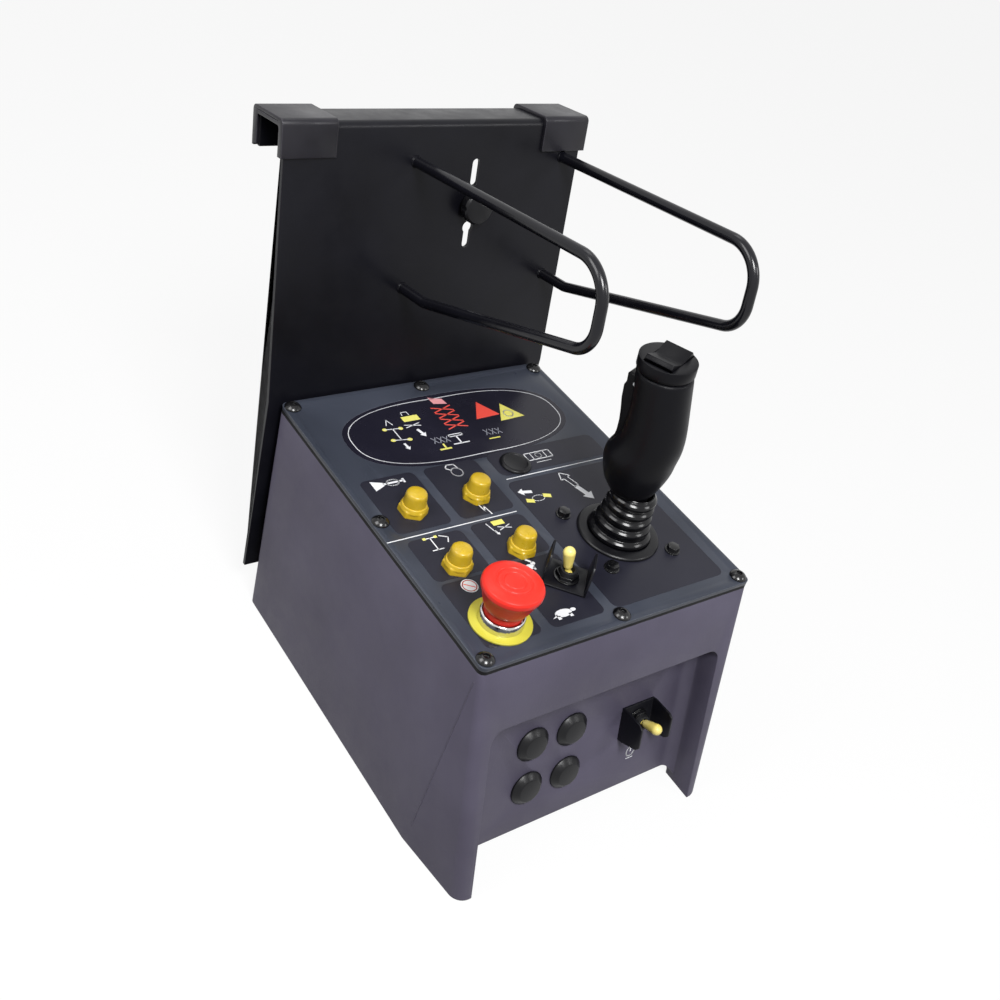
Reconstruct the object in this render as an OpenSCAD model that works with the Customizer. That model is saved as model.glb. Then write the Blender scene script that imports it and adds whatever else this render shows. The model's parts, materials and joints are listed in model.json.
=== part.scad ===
// Control box of a lift platform: a moulded housing on two slanted front legs, a panel with
// push buttons, an emergency stop, toggles and a drive joystick, and a steel hook plate.
// Frame: x to the operator's right, y to the back, z up from the bottom rim.

/* [Box] */
// Width of the control panel
panel_w = 236; // [228:1:246]
// Length of the control panel, front to back
panel_l = 274; // [268:1:284]
// Height of the panel's top above the bottom rim
box_h = 187; // [180:1:200]
// Thickness of the panel sheet
panel_t = 3; // [2:0.5:4]
// Thickness of the seal under the panel
gasket_t = 3; // [2:0.5:4]
// Radius of the panel's corners
corner_r = 5; // [3:1:8]
// Wall thickness of the housing
wall = 4; // [3:0.5:5]
// Reach of the front legs ahead of the panel, at the floor
leg_reach = 48; // [40:1:56]
// Outward flare of each side, from panel to floor
side_flare = 4.5; // [2:0.5:6]
// Inward step of each leg's front corner, at the floor
leg_step = 6.5; // [4:0.5:9]
// Distance of the side fold behind the panel's front edge, at the floor
fold_y = 13; // [8:1:20]
// Forward slope of the back wall, at the floor
back_in = 13; // [8:1:16]
// Height of the floor plate's underside
floor_z = 12; // [10:1:16]

/* [Front recess] */
// Half width of the recess between the legs
recess_x = 103; // [98:0.5:105]
// Distance of the recess's top edge below the housing's rim, down the slope
recess_top = 48; // [44:1:52]
// Depth of the recess, square to the slope
recess_depth = 23.5; // [20:0.5:26]
// Radius of the recess's corners
recess_r = 11; // [8:1:14]
// Distance of the upper plugs below the rim, down the slope
plug_s = 94.5; // [88:0.5:98]
// Spacing of the plugs across
plug_pitch_x = 35; // [33:1:38]
// Spacing of the plugs down the slope
plug_pitch_s = 38; // [35:1:40]
// Middle of the plugs, from the box's centre line
plug_mid_x = -28; // [-40:0.5:-25]
// Middle of the recess toggle, across
power_x = 53.5; // [45:0.5:58]
// Distance of the recess toggle below the rim, down the slope
power_s = 108; // [98:0.5:110]

/* [Hook plate] */
// Width of the steel plate
plate_w = 252; // [244:1:256]
// Thickness of the steel plate
plate_t = 3; // [2.5:0.5:3]
// Length of the plate above the panel
plate_up = 200; // [180:1:210]
// Length of the plate below the panel
plate_down = 159; // [150:1:170]
// Backward lean of the upper plate
lean_up = 10.6; // [8:0.1:12]
// Backward lean of the lower plate
lean_low = 1.9; // [1:0.1:3]
// Gap from the panel's back edge to the plate
plate_gap = 3; // [2:0.5:4]
// Outer depth of the hook at the plate's top
hook_d = 37; // [34:1:40]
// Length of the hook's rear leg
hook_leg = 25; // [22:1:30]
// Width of each rubber pad
pad_w = 41; // [36:1:46]
// Thickness of the pads' rubber
pad_t = 2.5; // [2:0.5:3]
// Place of the slots and the knob, across
slot_x = 30.5; // [26:0.5:36]
// Height of the knob up the plate
knob_z = 139; // [134:1:144]
// Distance from each slot's middle to the knob
slot_off = 23.5; // [22:0.5:26]
// Width of the slots
slot_w = 6.6; // [6:0.2:8]
// Length of the slots
slot_len = 20; // [18:0.5:21]

/* [Hoops] */
// Diameter of the hoops' rod
rod_d = 8; // [6:0.5:9]
// Place of the left hoop, across
hoop_l_x = -22; // [-28:1:-16]
// Distance of the right hoop from the plate's edge
hoop_r_in = 15.5; // [12:0.5:20]
// Reach of the hoops ahead of the plate, to the rod's middle
hoop_reach = 211; // [200:1:216]
// Height of the upper rod up the plate
hoop_top = 171.8; // [168:1:178]
// Height of the lower rod's root up the plate
hoop_root = 78; // [74:1:84]
// Height where the lower rod meets its front bend
hoop_low = 113; // [108:1:118]
// Radius of the hoops' upper bend
hoop_top_r = 26; // [20:1:30]
// Radius of the hoops' other bends
hoop_low_r = 21; // [16:1:24]
// Length of the lower rod's square stub at the plate
hoop_stub = 28; // [20:1:34]

/* [Joystick] */
// Middle of the joystick, across
joy_x = 50.5; // [48:0.5:54]
// Middle of the joystick, behind the panel's front edge
joy_y = 74.5; // [72:0.5:80]
// Depth of the pivot under the panel's top
joy_pivot = 14; // [12:1:18]
// Spacing of the joystick's screws
joy_screw_pitch = 58; // [56:1:60]
// Radius of the panel's opening under the bellows
joy_hole_r = 21.5; // [19:0.5:22]
// Diameter of the black ring on the panel
joy_ring_d = 61; // [58:1:64]
// Height of the grip's lower end above the panel
grip_z0 = 29; // [27:1:32]
// Height of the grip's cap line
grip_z1 = 137; // [132:1:142]
// Height of the rocker's peaks
grip_z2 = 150; // [149:1:153]
// Radius of the grip's barrel
grip_r = 19.5; // [18:0.5:21]
// Angle of the trigger's pull
trigger_pull = 5; // [3:1:7]
// Backward lean of the grip at rest
grip_back = 4; // [2:0.5:6]
// Leftward lean of the grip at rest
grip_left = 3.5; // [0:0.5:5]
// Turn of the grip about its own axis, which brings the trigger round to the left
grip_turn = 20; // [0:5:30]
// How far the grip's barrel bows away from the trigger
grip_bow = 7; // [4:0.5:8]

/* [Push buttons] */
// Places of the button columns, across
button_xs = [-84, -31];
// Places of the button rows, behind the panel's front edge
button_ys = [83, 140.5];
// Width of the boots across their flats
boot_af = 18.5; // [17.5:0.5:20]
// Height of the boots' domes above the panel
boot_h = 17.5; // [16:0.5:19]
// Travel of each button
button_travel = 2; // [1.5:0.5:2.5]

/* [Emergency stop] */
// Middle of the emergency stop, across
estop_x = -84; // [-88:0.5:-80]
// Middle of the emergency stop, behind the panel's front edge
estop_y = 31; // [28:0.5:34]
// Diameter of the red head
estop_d = 41; // [38:1:42]
// Height of the head's top above the panel
estop_h = 36; // [33:0.5:38]
// Diameter of the yellow ring
estop_ring_d = 42.5; // [40:0.5:46]

/* [Toggles] */
// Middle of the speed toggle, across
speed_x = -17; // [-20:0.5:-12]
// Middle of the speed toggle, behind the panel's front edge
speed_y = 49; // [45:0.5:53]
// Turn of the speed toggle's guard on the panel
speed_turn = -45; // [-60:1:0]
// Width of the guards between their wings
guard_w = 31; // [28:0.5:34]
// Depth of the guards' wings
guard_d = 28; // [24:1:30]
// Height of the guards' wings
guard_h = 22; // [18:1:26]
// Lean of a lever at rest, and half its throw
lever_lean = 12; // [10:1:14]
// Length of a lever above its bushing
lever_len = 16; // [14:1:20]

/* [Fits] */
// Radial clearance of a turning or sliding fit
run_fit = 0.05; // [0.03:0.01:0.1]
// Radial clearance round a screw
screw_fit = 0.25; // [0.2:0.05:0.4]
// Gap round a moving cover
cover_gap = 0.4; // [0.3:0.05:0.6]

/* [Hidden] */
$fn = 64;
eps = 0.01;
panel_under = box_h - panel_t;
rim_z = panel_under - gasket_t;
slope = atan(leg_reach / rim_z);
half_w = panel_w / 2;
foot_w = half_w + side_flare;
plate_y = panel_l + plate_gap;
hoop_r_x = plate_w / 2 - hoop_r_in;
pad_r = 4;
back_y = plate_y + (hook_d + pad_t - pad_r) * cos(lean_up) + (plate_up + pad_t - pad_r) * sin(lean_up) + pad_r;
mid_y = (back_y - leg_reach) / 2;
screw_in = 7;
panel_screw_places = concat(
    [for (x = [-1, 1], y = [screw_in, panel_l / 2, panel_l - screw_in]) [x * (half_w - screw_in + 0.5), y]],
    [for (y = [screw_in, panel_l - screw_in]) [0, y]]);
button_places = [for (y = button_ys, x = button_xs) [x, y]];
joy_screw_places = [for (x = [-1, 1], y = [-1, 1]) [x, y] * joy_screw_pitch / 2];
bolt_places = [for (x = [-85, 85], z = [-40, -135]) [x, z]];
plug_places = [for (i = [-1, 1], k = [0, 1]) [plug_mid_x + i * plug_pitch_x / 2, -plug_s - k * plug_pitch_s]];
disc_x = 20;
disc_y = 163;
oval_x = 3.5;
oval_y = panel_l - 58;
oval_rx = 97;
oval_ry = 39.5;
window_t = 1;
boss_end = 17;
pad_z0 = plate_up + pad_t;

// ---- Places -------------------------------------------------------------------------------

// The box's own frame: y = 0 at the panel's front edge, z = 0 at the rim
module in_box() translate([0, -mid_y, 0]) children();

// The panel's top surface
module on_panel(at = [0, 0]) in_box() translate([at.x, at.y, box_h]) children();

// The slanted front: x across, y up the slope, z out of the face, origin at the rim
module on_front(at = [0, 0]) in_box() translate([0, 0, rim_z]) rotate([90 - slope, 0, 0])
    translate([at.x, at.y, 0]) children();

// The recessed face behind the slanted front
module on_recess(at = [0, 0]) on_front(at) translate([0, 0, -recess_depth]) children();

// The upper plate: x across, y to the back from the front face, z up the plate
module on_upper() in_box() translate([0, plate_y, box_h]) rotate([-lean_up, 0, 0]) children();

// The lower plate, in the same way; z is negative below the panel
module on_lower() in_box() translate([0, plate_y, box_h]) rotate([-lean_low, 0, 0]) children();

// The joystick's middle on the panel, and the leaning grip above it
module on_joystick() on_panel([joy_x, joy_y]) children();
module on_grip() on_joystick() rotate([-grip_back, -grip_left, 0]) rotate(grip_turn) children();

// ---- Shared shapes ------------------------------------------------------------------------

module rounded_rect(w, l, r) {
    union() {
        translate([-w / 2 + r, -l / 2]) square([w - 2 * r, l]);
        translate([-w / 2, -l / 2 + r]) square([w, l - 2 * r]);
        for (x = [-1, 1], y = [-1, 1]) translate([x * (w / 2 - r), y * (l / 2 - r)]) circle(r);
    }
}

module panel_outline(inset = 0) {
    translate([0, panel_l / 2]) rounded_rect(panel_w - 2 * inset, panel_l - 2 * inset, corner_r - inset / 4);
}

module tube(outer, inner, h) {
    difference() {
        cylinder(d = outer, h = h);
        translate([0, 0, -1]) cylinder(d = inner, h = h + 2);
    }
}

module hex(af, h) cylinder(d = af / cos(30), h = h, $fn = 6);

module hex_nut(af, bore, h) {
    difference() {
        hex(af, h);
        translate([0, 0, -1]) cylinder(d = bore, h = h + 2);
    }
}

// A domed screw head with a hexagon recess, seated at z = 0, and its shank below
module button_screw(head_d, head_h, shank_d, shank_l, key) {
    difference() {
        rotate_extrude() intersection() {
            translate([0, head_h - head_d * 0.62]) circle(head_d * 0.62);
            square([head_d / 2, head_h]);
        }
        translate([0, 0, head_h * 0.45]) hex(key, head_h);
    }
    translate([0, 0, -shank_l]) cylinder(d = shank_d, h = shank_l + eps);
}

function oval_points(rx, ry, n = 72) = [for (i = [0 : n - 1]) let (a = i * 360 / n, p = 2 / 2.5)
    [rx * sign(cos(a)) * pow(abs(cos(a)), p), ry * sign(sin(a)) * pow(abs(sin(a)), p)]];

// ---- Housing ------------------------------------------------------------------------------

// The closed form of the box: a rectangle at the rim, six corners with two legs at the floor
module box_form(inset, z0, z1) {
    hull() {
        for (x = [-1, 1], y = [corner_r, panel_l - corner_r])
            translate([x * (half_w - corner_r), y, z1 - 1]) cylinder(r = corner_r - inset / 2, h = 1, $fn = 32);
        for (x = [-1, 1]) {
            translate([x * (foot_w - leg_step - 11), 11 - leg_reach, z0]) cylinder(r = 11 - inset, h = 1, $fn = 32);
            translate([x * (foot_w - 3), fold_y, z0]) cylinder(r = 3 - inset / 2, h = 1, $fn = 24);
            translate([x * (foot_w - 6), panel_l - back_in - 6, z0]) cylinder(r = 6 - inset, h = 1, $fn = 32);
        }
    }
}

module box_hollow() {
    hull() {
        translate([0, panel_l / 2, rim_z]) linear_extrude(1)
            rounded_rect(panel_w - 2 * wall, panel_l - 2 * wall, corner_r - 2);
        for (x = [-1, 1]) {
            translate([x * (foot_w - leg_step - 11), 11.5 - leg_reach, -1]) cylinder(r = 7, h = 1, $fn = 32);
            translate([x * (foot_w - wall - 2), fold_y + 2, -1]) cylinder(r = 2, h = 1, $fn = 24);
            translate([x * (foot_w - wall - 3), panel_l - back_in - wall - 3, -1])
                cylinder(r = 3, h = 1, $fn = 32);
        }
    }
}

// The recess as cut from the slanted front: rounded at its top and along its back
module recess_space(grow, depth) {
    top = -recess_top + grow;
    half = recess_x + grow;
    intersection() {
        translate([0, 0, -depth]) linear_extrude(depth + 30) union() {
            translate([-half, -300]) square([2 * half, 300 + top - recess_r]);
            translate([-half + recess_r, -300]) square([2 * (half - recess_r), 300 + top]);
            for (x = [-1, 1]) translate([x * (half - recess_r), top - recess_r]) circle(recess_r);
        }
        rotate([90, 0, 0]) linear_extrude(600, center = true) union() {
            translate([-half, -depth + recess_r]) square([2 * half, depth + 30]);
            translate([-half + recess_r, -depth]) square([2 * (half - recess_r), 40]);
            for (x = [-1, 1]) translate([x * (half - recess_r), -depth + recess_r]) circle(recess_r);
        }
    }
}

// The arch under the recessed face, between the legs
arch_r = 9;
module arch_space() {
    rotate([90, 0, 0]) linear_extrude(80, center = true) union() {
        translate([-recess_x + arch_r, -1]) square([2 * (recess_x - arch_r), floor_z + 1]);
        translate([-recess_x, -1]) square([2 * recess_x, 1 + floor_z - arch_r]);
        for (x = [-1, 1]) translate([x * (recess_x - arch_r), floor_z - arch_r]) circle(arch_r);
    }
}

module panel_bosses() {
    for (p = panel_screw_places) translate([p.x, p.y, rim_z - 26]) cylinder(d = 12.5, h = 26);
}

floor_places = [for (x = [-98, 98], y = [24, 245]) [x, y]];

// A screw boss with a rib to the side wall
module floor_boss(p) {
    translate([p.x, p.y, floor_z + 3]) cylinder(d = 11, h = 16);
    translate([p.x + (p.x > 0 ? 0 : -22), p.y - 1.5, floor_z + 3]) cube([22, 3, 16]);
}

module housing() {
    color("#4a484f") difference() {
        union() {
            in_box() difference() {
                box_form(0, 0, rim_z);
                box_hollow();
            }
            intersection() {
                in_box() box_form(0, 0, rim_z);
                union() {
                    in_box() panel_bosses();
                    in_box() for (p = floor_places) floor_boss(p);
                    on_front() recess_space(wall, recess_depth + wall);
                }
            }
            on_lower() for (p = bolt_places) translate([p.x, 0, p.y]) rotate([90, 0, 0])
                cylinder(d = 18, h = boss_end);
        }
        on_front() recess_space(0, recess_depth);
        in_box() arch_space();
        in_box() for (p = panel_screw_places) translate([p.x, p.y, rim_z - 20])
            cylinder(r = 2.5 + run_fit, h = 30);
        in_box() for (p = floor_places) translate([p.x, p.y, 0]) cylinder(r = 2 + run_fit, h = floor_z + 16);
        on_lower() for (p = bolt_places) translate([p.x, 5, p.y]) rotate([90, 0, 0])
            cylinder(r = 3 + screw_fit, h = 40);
        for (p = plug_places) on_recess(p) translate([0, 0, -20]) cylinder(d = 22.5, h = 30);
        on_recess([power_x, -power_s]) translate([0, 0, -20]) cylinder(r = 6 + run_fit, h = 30);
    }
}

floor_x0 = foot_w - 13;

module floor_plate() {
    y0 = fold_y - 28;
    y1 = panel_l - back_in - 12;
    color("#3c3b41") in_box() difference() {
        translate([0, (y0 + y1) / 2, floor_z]) linear_extrude(3)
            rounded_rect(2 * floor_x0, y1 - y0, 8);
        for (p = floor_places) translate([p.x, p.y, 0]) cylinder(r = 2 + screw_fit, h = 40);
        for (p = board_places) translate([p.x, p.y, 0]) cylinder(r = 1.5 + run_fit, h = 40);
        translate([gland_x, gland_y, 0]) cylinder(r = 10 + screw_fit, h = 40);
    }
}

module floor_screws() {
    color("#1d1d1f") in_box() for (p = floor_places) translate([p.x, p.y, floor_z]) rotate([180, 0, 0])
        button_screw(8, 2.6, 4, 15, 2.5);
}

// ---- Panel --------------------------------------------------------------------------------

module panel_gasket() {
    color("#121214") on_panel() translate([0, 0, -panel_t - gasket_t]) linear_extrude(gasket_t) difference() {
        panel_outline();
        difference() {
            panel_outline(5);
            for (p = panel_screw_places) translate(p) circle(7);
        }
        for (p = panel_screw_places) translate(p) circle(2.5 + screw_fit);
    }
}

module control_panel() {
    color("#5b5f68") on_panel() translate([0, 0, -panel_t]) difference() {
        linear_extrude(panel_t) difference() {
            panel_outline();
            for (p = panel_screw_places) translate(p) circle(2.5 + screw_fit);
            for (p = button_places) translate(p) circle(6 + run_fit);
            translate([estop_x, estop_y]) circle(11 + screw_fit);
            translate([speed_x, speed_y]) circle(6 + run_fit);
            translate([disc_x, disc_y]) circle(11 + screw_fit);
            translate([joy_x, joy_y]) {
                circle(joy_hole_r);
                for (p = joy_screw_places) translate(p) circle(2.5 + screw_fit);
            }
            translate([oval_x, oval_y]) polygon(oval_points(oval_rx - 5, oval_ry - 5));
        }
        translate([oval_x, oval_y, panel_t - window_t]) linear_extrude(5)
            polygon(oval_points(oval_rx + 0.1, oval_ry + 0.1));
    }
}

module panel_screws() {
    color("#151516") for (p = panel_screw_places) on_panel(p) button_screw(12.5, 4, 5, 22, 4);
}

module display_window() {
    color("#20222a") on_panel([oval_x, oval_y]) translate([0, 0, -window_t]) linear_extrude(window_t)
        polygon(oval_points(oval_rx, oval_ry));
}

display_z = -panel_t - 7;
display_x = oval_rx - 35;
display_y = oval_ry - 8.5;
display_places = [for (x = [-1, 1], y = [-1, 1]) [x * display_x, y * display_y]];

module display_board() {
    color("#1f5a38") on_panel([oval_x, oval_y]) translate([0, 0, display_z - 1.6]) union() {
        difference() {
            translate([-display_x - 6, -display_y - 5, 0])
                cube([2 * display_x + 12, 2 * display_y + 10, 1.6]);
            for (p = display_places) translate([p.x, p.y, -1]) cylinder(r = 1.6, h = 4);
        }
        for (i = [-4 : 4], k = [-1, 0, 1]) translate([i * 13 - 2.5, k * 17 - 1.5, 1.6 - eps]) cube([5, 3, 2]);
        translate([-20, -12, -6]) cube([40, 24, 6 + eps]);
    }
}

module display_standoffs() {
    color("#c9cacc") for (p = display_places) on_panel([oval_x + p.x, oval_y + p.y])
        translate([0, 0, display_z]) tube(6, 3.2, 7);
}

module blanking_plug() {
    color("#101013") on_panel([disc_x, disc_y]) rotate_extrude() union() {
        polygon([[0, 0], [12.2, 0], [12.2, 0.8], [11.4, 2], [9.2, 2.4], [9, 1.9], [0, 1.9]]);
        translate([0, -6]) square([10.8, 6 + eps]);
        polygon([[0, -6], [10.8, -6], [11.8, -panel_t - 0.2], [0, -panel_t - 0.2]]);
    }
}

module hole_plugs() {
    color("#161618") for (p = plug_places) on_recess(p) rotate_extrude() union() {
        polygon([[0, 0], [13.6, 0], [13.6, 0.8], [13, 1.6], [9, 5], [0, 5.2]]);
        translate([0, -7]) square([10.9, 7 + eps]);
        polygon([[0, -7], [10.9, -7], [11.8, -wall - 0.3], [0, -wall - 0.3]]);
    }
}

// ---- Hook plate ---------------------------------------------------------------------------

// A flat strip with a rounded outer bend at its end, in the y-z section of the plate
module bend_2d(r) {
    intersection() {
        difference() {
            circle(r);
            circle(r - plate_t);
        }
        children();
    }
}

module upper_section() {
    r = 5;
    square([plate_t, plate_up - r]);
    translate([r, plate_up - r]) bend_2d(r) translate([-r, 0]) square([r, r]);
    translate([r, plate_up - plate_t]) square([hook_d - 2 * r, plate_t]);
    translate([hook_d - r, plate_up - r]) bend_2d(r) square([r, r]);
    translate([hook_d - plate_t, plate_up - hook_leg]) square([plate_t, hook_leg - r]);
}

// The section drawn in y-z is stood up and run across the plate
module across(w) {
    rotate([90, 0, 90]) linear_extrude(w, center = true) children();
}

module bracket_plate() {
    color("#17181a") difference() {
        union() {
            on_upper() across(plate_w) upper_section();
            on_lower() across(plate_w) translate([0, -plate_down]) square([plate_t, plate_down]);
        }
        on_upper() {
            translate([slot_x, -5, knob_z]) rotate([-90, 0, 0]) cylinder(r = 5 + screw_fit, h = 20);
            for (s = [-1, 1]) translate([slot_x, -5, knob_z + s * slot_off]) rotate([-90, 0, 0])
                linear_extrude(20) slot_2d(s);
        }
        on_lower() for (p = bolt_places) translate([p.x, -5, p.y]) rotate([-90, 0, 0])
            cylinder(r = 3 + screw_fit, h = 20);
    }
}

// A slot: the upper one is straight, the lower one widens to a keyhole at its top
module slot_2d(s) {
    r = slot_w / 2;
    run = slot_len / 2 - r;
    translate([-r, -run]) square([2 * r, 2 * run]);
    for (y = [-run, run]) translate([0, y]) circle(r);
    if (s < 0) translate([0, -run + 1]) circle(r * 1.4);
}

module bracket_bolts() {
    color("#1b1b1d") on_lower() for (p = bolt_places) translate([p.x, plate_t, p.y]) rotate([-90, 0, 0])
        button_screw(12, 3.4, 6, plate_t + boss_end + 8, 4);
}

module bracket_nuts() {
    color("#b9bbbd") on_lower() for (p = bolt_places) translate([p.x, -boss_end, p.y]) rotate([90, 0, 0])
        hex_nut(10, 6 + 2 * run_fit, 5);
}

// A rubber pad folded over the hook, closed over the plate's edge
module hook_pad(side) {
    front = 25.5;
    rear = 27;
    out = plate_w / 2 + 3;
    color("#2b2b2e") on_upper() union() {
        translate([side * (out - pad_w / 2), 0, 0]) across(pad_w) difference() {
            union() {
                translate([-pad_t, pad_z0 - front]) square([hook_d / 2 + pad_t, front - 4]);
                translate([pad_r - pad_t, pad_z0 - 10]) square([hook_d + 2 * (pad_t - pad_r), 10]);
                translate([hook_d / 2, pad_z0 - rear]) square([hook_d / 2 + pad_t, rear - 4]);
                for (y = [pad_r - pad_t, hook_d + pad_t - pad_r]) translate([y, pad_z0 - pad_r]) circle(pad_r);
            }
            pad_hollow(0);
        }
        translate([side * (out - 1.4), 0, 0]) across(2.8) difference() {
            translate([-pad_t + 0.5, pad_z0 - front]) square([hook_d + 2 * pad_t - 1, front - 3]);
            pad_hollow(plate_t);
        }
    }
}

// What the pad leaves open: the steel itself, or the channel inside it
module pad_hollow(inset) {
    r = 5 - inset;
    w = hook_d - 2 * inset;
    h = plate_up - inset;
    translate([inset, h - 60]) square([w, 60 - r]);
    translate([inset + r, h - 20]) square([w - 2 * r, 20]);
    for (x = [inset + r, inset + w - r]) translate([x, h - r]) circle(r);
}

module hook_pad_left() hook_pad(-1);
module hook_pad_right() hook_pad(1);

// ---- Hoops --------------------------------------------------------------------------------

function arc_path(c, r, from, to, n) = [for (i = [0 : n]) let (a = from + (to - from) * i / n)
    c + r * [cos(a), sin(a)]];

// The ring of points round a path of the y-z plane at its point i, square to the path there
function rod_ring(path, i, n) = let (last = len(path) - 1,
    run = path[min(i + 1, last)] - path[max(i - 1, 0)], t = run / norm(run))
    [for (k = [0 : n - 1]) let (a = 360 * k / n, up = rod_d / 2 * sin(a))
        [rod_d / 2 * cos(a), path[i].x - t.y * up, path[i].y + t.x * up]];

module bent_rod(path, n = 20) {
    last = len(path) - 1;
    polyhedron(
        points = [for (i = [0 : last]) each rod_ring(path, i, n)],
        faces = concat([[for (k = [n - 1 : -1 : 0]) k]], [[for (k = [0 : n - 1]) last * n + k]],
            [for (i = [0 : last - 1], k = [0 : n - 1]) let (m = (k + 1) % n)
                each [[i * n + k, i * n + m, (i + 1) * n + k],
                      [i * n + m, (i + 1) * n + m, (i + 1) * n + k]]]));
}

// The rod leaves the plate square to it; its lower run then climbs to the front bend. The
// slanted run is tangent to the kink and to the low bend, which have one radius.
module hoop(x) {
    top = [hoop_top_r - hoop_reach, hoop_top - hoop_top_r];
    low = [hoop_low_r - hoop_reach, hoop_low + hoop_low_r];
    kink = [-hoop_stub, hoop_root + hoop_low_r];
    rise = atan2(low.y - kink.y, kink.x - low.x);
    path = concat([[0, hoop_top]], arc_path(top, hoop_top_r, 90, 180, 9),
        arc_path(low, hoop_low_r, 180, 270 - rise, 8), arc_path(kink, hoop_low_r, 270 - rise, 270, 2),
        [[0, hoop_root]]);
    color("#141416") on_upper() translate([x, 0, 0]) union() {
        bent_rod(path);
        for (z = [hoop_top, hoop_root]) translate([0, 0, z]) rotate([90, 0, 0])
            cylinder(d1 = rod_d + 1, d2 = rod_d - 1, h = 1.5, $fn = 32);
    }
}

module hoop_left() hoop(hoop_l_x);
module hoop_right() hoop(hoop_r_x);

// ---- Clamp knob ---------------------------------------------------------------------------

module clamp_knob() {
    color("#141416") on_upper() translate([slot_x, 0, knob_z]) rotate([90, 0, 0]) union() {
        difference() {
            rotate_extrude() polygon([[0, 0.3], [8, 0.3], [8, 3], [11.5, 4], [12.5, 5.5], [12.5, 10.5], [11, 12],
                [0, 13]]);
            for (i = [0 : 7]) rotate(i * 45) translate([14.6, 0, 2]) cylinder(d = 6, h = 20, $fn = 24);
        }
        translate([0, 0, -plate_t - 12]) cylinder(d = 10, h = plate_t + 13);
    }
}

module clamp_washer() {
    color("#9b9da0") on_upper() translate([slot_x, plate_t, knob_z]) rotate([-90, 0, 0])
        tube(20, 10 + 2 * run_fit, 2);
}

module clamp_nut() {
    color("#9b9da0") on_upper() translate([slot_x, plate_t + 2, knob_z]) rotate([-90, 0, 0])
        hex_nut(16, 10 + 2 * run_fit, 7);
}

// ---- Emergency stop -----------------------------------------------------------------------

module on_estop() on_panel([estop_x, estop_y]) children();

estop_travel = 4.5;
estop_stem = 6;
bezel_top = 9;
bezel_bore = 13.8;
head_z = 4 + estop_travel + 0.5;

module estop_ring() {
    color("#d8dc2e") on_estop() tube(estop_ring_d, 22.4, 1.5);
}

module estop_bezel() {
    color("#c8c9cc") on_estop() difference() {
        rotate_extrude() union() {
            polygon([[0, 1.5], [15.6, 1.5], [15.6, 3.5], [15, bezel_top - 0.6], [14.4, bezel_top], [0, bezel_top]]);
            translate([0, -22]) square([11, 23.6]);
        }
        translate([0, 0, 4]) cylinder(r = bezel_bore, h = 20);
        translate([0, 0, -30]) cylinder(r = estop_stem + run_fit, h = 50);
    }
}

module estop_nut() {
    color("#1c1c1e") on_estop() translate([0, 0, -panel_t - 5]) hex_nut(30, 22 + 2 * run_fit, 5);
}

module estop_contacts() {
    color("#25262a") on_estop() translate([0, 0, -22]) difference() {
        translate([-15, -22, -26]) cube([30, 44, 26]);
        translate([0, 0, -12]) cylinder(r = estop_stem + 1, h = 20);
        for (x = [-8, 8], y = [-17, 17]) translate([x, y, -27]) cylinder(d = 4, h = 10);
    }
}

module estop_head() {
    top = estop_h;
    r = estop_d / 2;
    neck = bezel_bore - 0.5;
    clear = bezel_top + estop_travel + 0.4;
    color("#e02530") on_estop() union() {
        rotate_extrude() polygon([[0, head_z], [neck, head_z], [neck, clear], [neck + 1.2, clear + 0.6],
            [15.6, clear + 3.5], [r - 1.6, top - 10], [r, top - 7.5],
            [r, top - 3.4], [r - 2.6, top - 0.6], [r - 6, top], [r - 7.6, top - 0.9], [0, top - 1.4]]);
        translate([0, 0, -24]) cylinder(r = estop_stem, h = 40);
    }
}

// ---- Push buttons -------------------------------------------------------------------------

collar_z = 7;
bush_z = collar_z - 1.3 - button_travel;
cap_r = 8;

module button_boots() {
    color("#f0c81e") for (p = button_places) on_panel(p) difference() {
        union() {
            rotate(30 * (p.x > -50 ? 1 : 0)) hex(boot_af, 5);
            cylinder(r = cap_r + 1.1, h = collar_z);
        }
        translate([0, 0, -1]) cylinder(r = 6 + run_fit, h = 20);
        translate([0, 0, bush_z]) cylinder(r = cap_r + cover_gap, h = 20);
    }
}

module button_switches() {
    color("#2a2b2f") for (p = button_places) on_panel(p) difference() {
        union() {
            translate([-8, -8, -panel_t - 26]) cube([16, 16, 26]);
            translate([0, 0, -panel_t - eps]) cylinder(r = 6, h = panel_t + bush_z - 0.5);
            for (k = [-4, 4]) translate([k - 0.4, -2, -panel_t - 33]) cube([0.8, 4, 8]);
        }
        translate([0, 0, -panel_t - 10]) cylinder(r = 2.5 + run_fit, h = 40);
    }
}

// The rubber dome and the plunger that it carries
module button_cap(p) {
    color("#f4cf1c") on_panel(p) union() {
        rotate_extrude() union() {
            translate([0, collar_z - 1]) square([cap_r, boot_h - collar_z - 2]);
            intersection() {
                translate([0, boot_h - 12]) circle(12);
                translate([0, boot_h - 5]) square([cap_r, 6]);
            }
        }
        translate([0, 0, -panel_t - 6]) cylinder(r = 2.5, h = panel_t + 6 + collar_z);
    }
}

module steer_button() button_cap(button_places[0]);
module lift_button() button_cap(button_places[1]);
module horn_button() button_cap(button_places[2]);
module start_button() button_cap(button_places[3]);

// ---- Toggles: drawn on their mounting face, z out of it -------------------------------------

lever_z = 4;
bush_top = 9;

module toggle_switch(sheet) {
    color("#2a2b2f") difference() {
        union() {
            translate([-7, -10, -sheet - 24]) cube([14, 20, 24]);
            translate([0, 0, -sheet - eps]) cylinder(r = 6, h = sheet + bush_top);
            for (y = [-6, 0, 6]) translate([-0.4, y - 2, -sheet - 31]) cube([0.8, 4, 8]);
        }
        translate([0, 0, lever_z - 6]) cylinder(r = 4.2, h = 30);
    }
}

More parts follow.
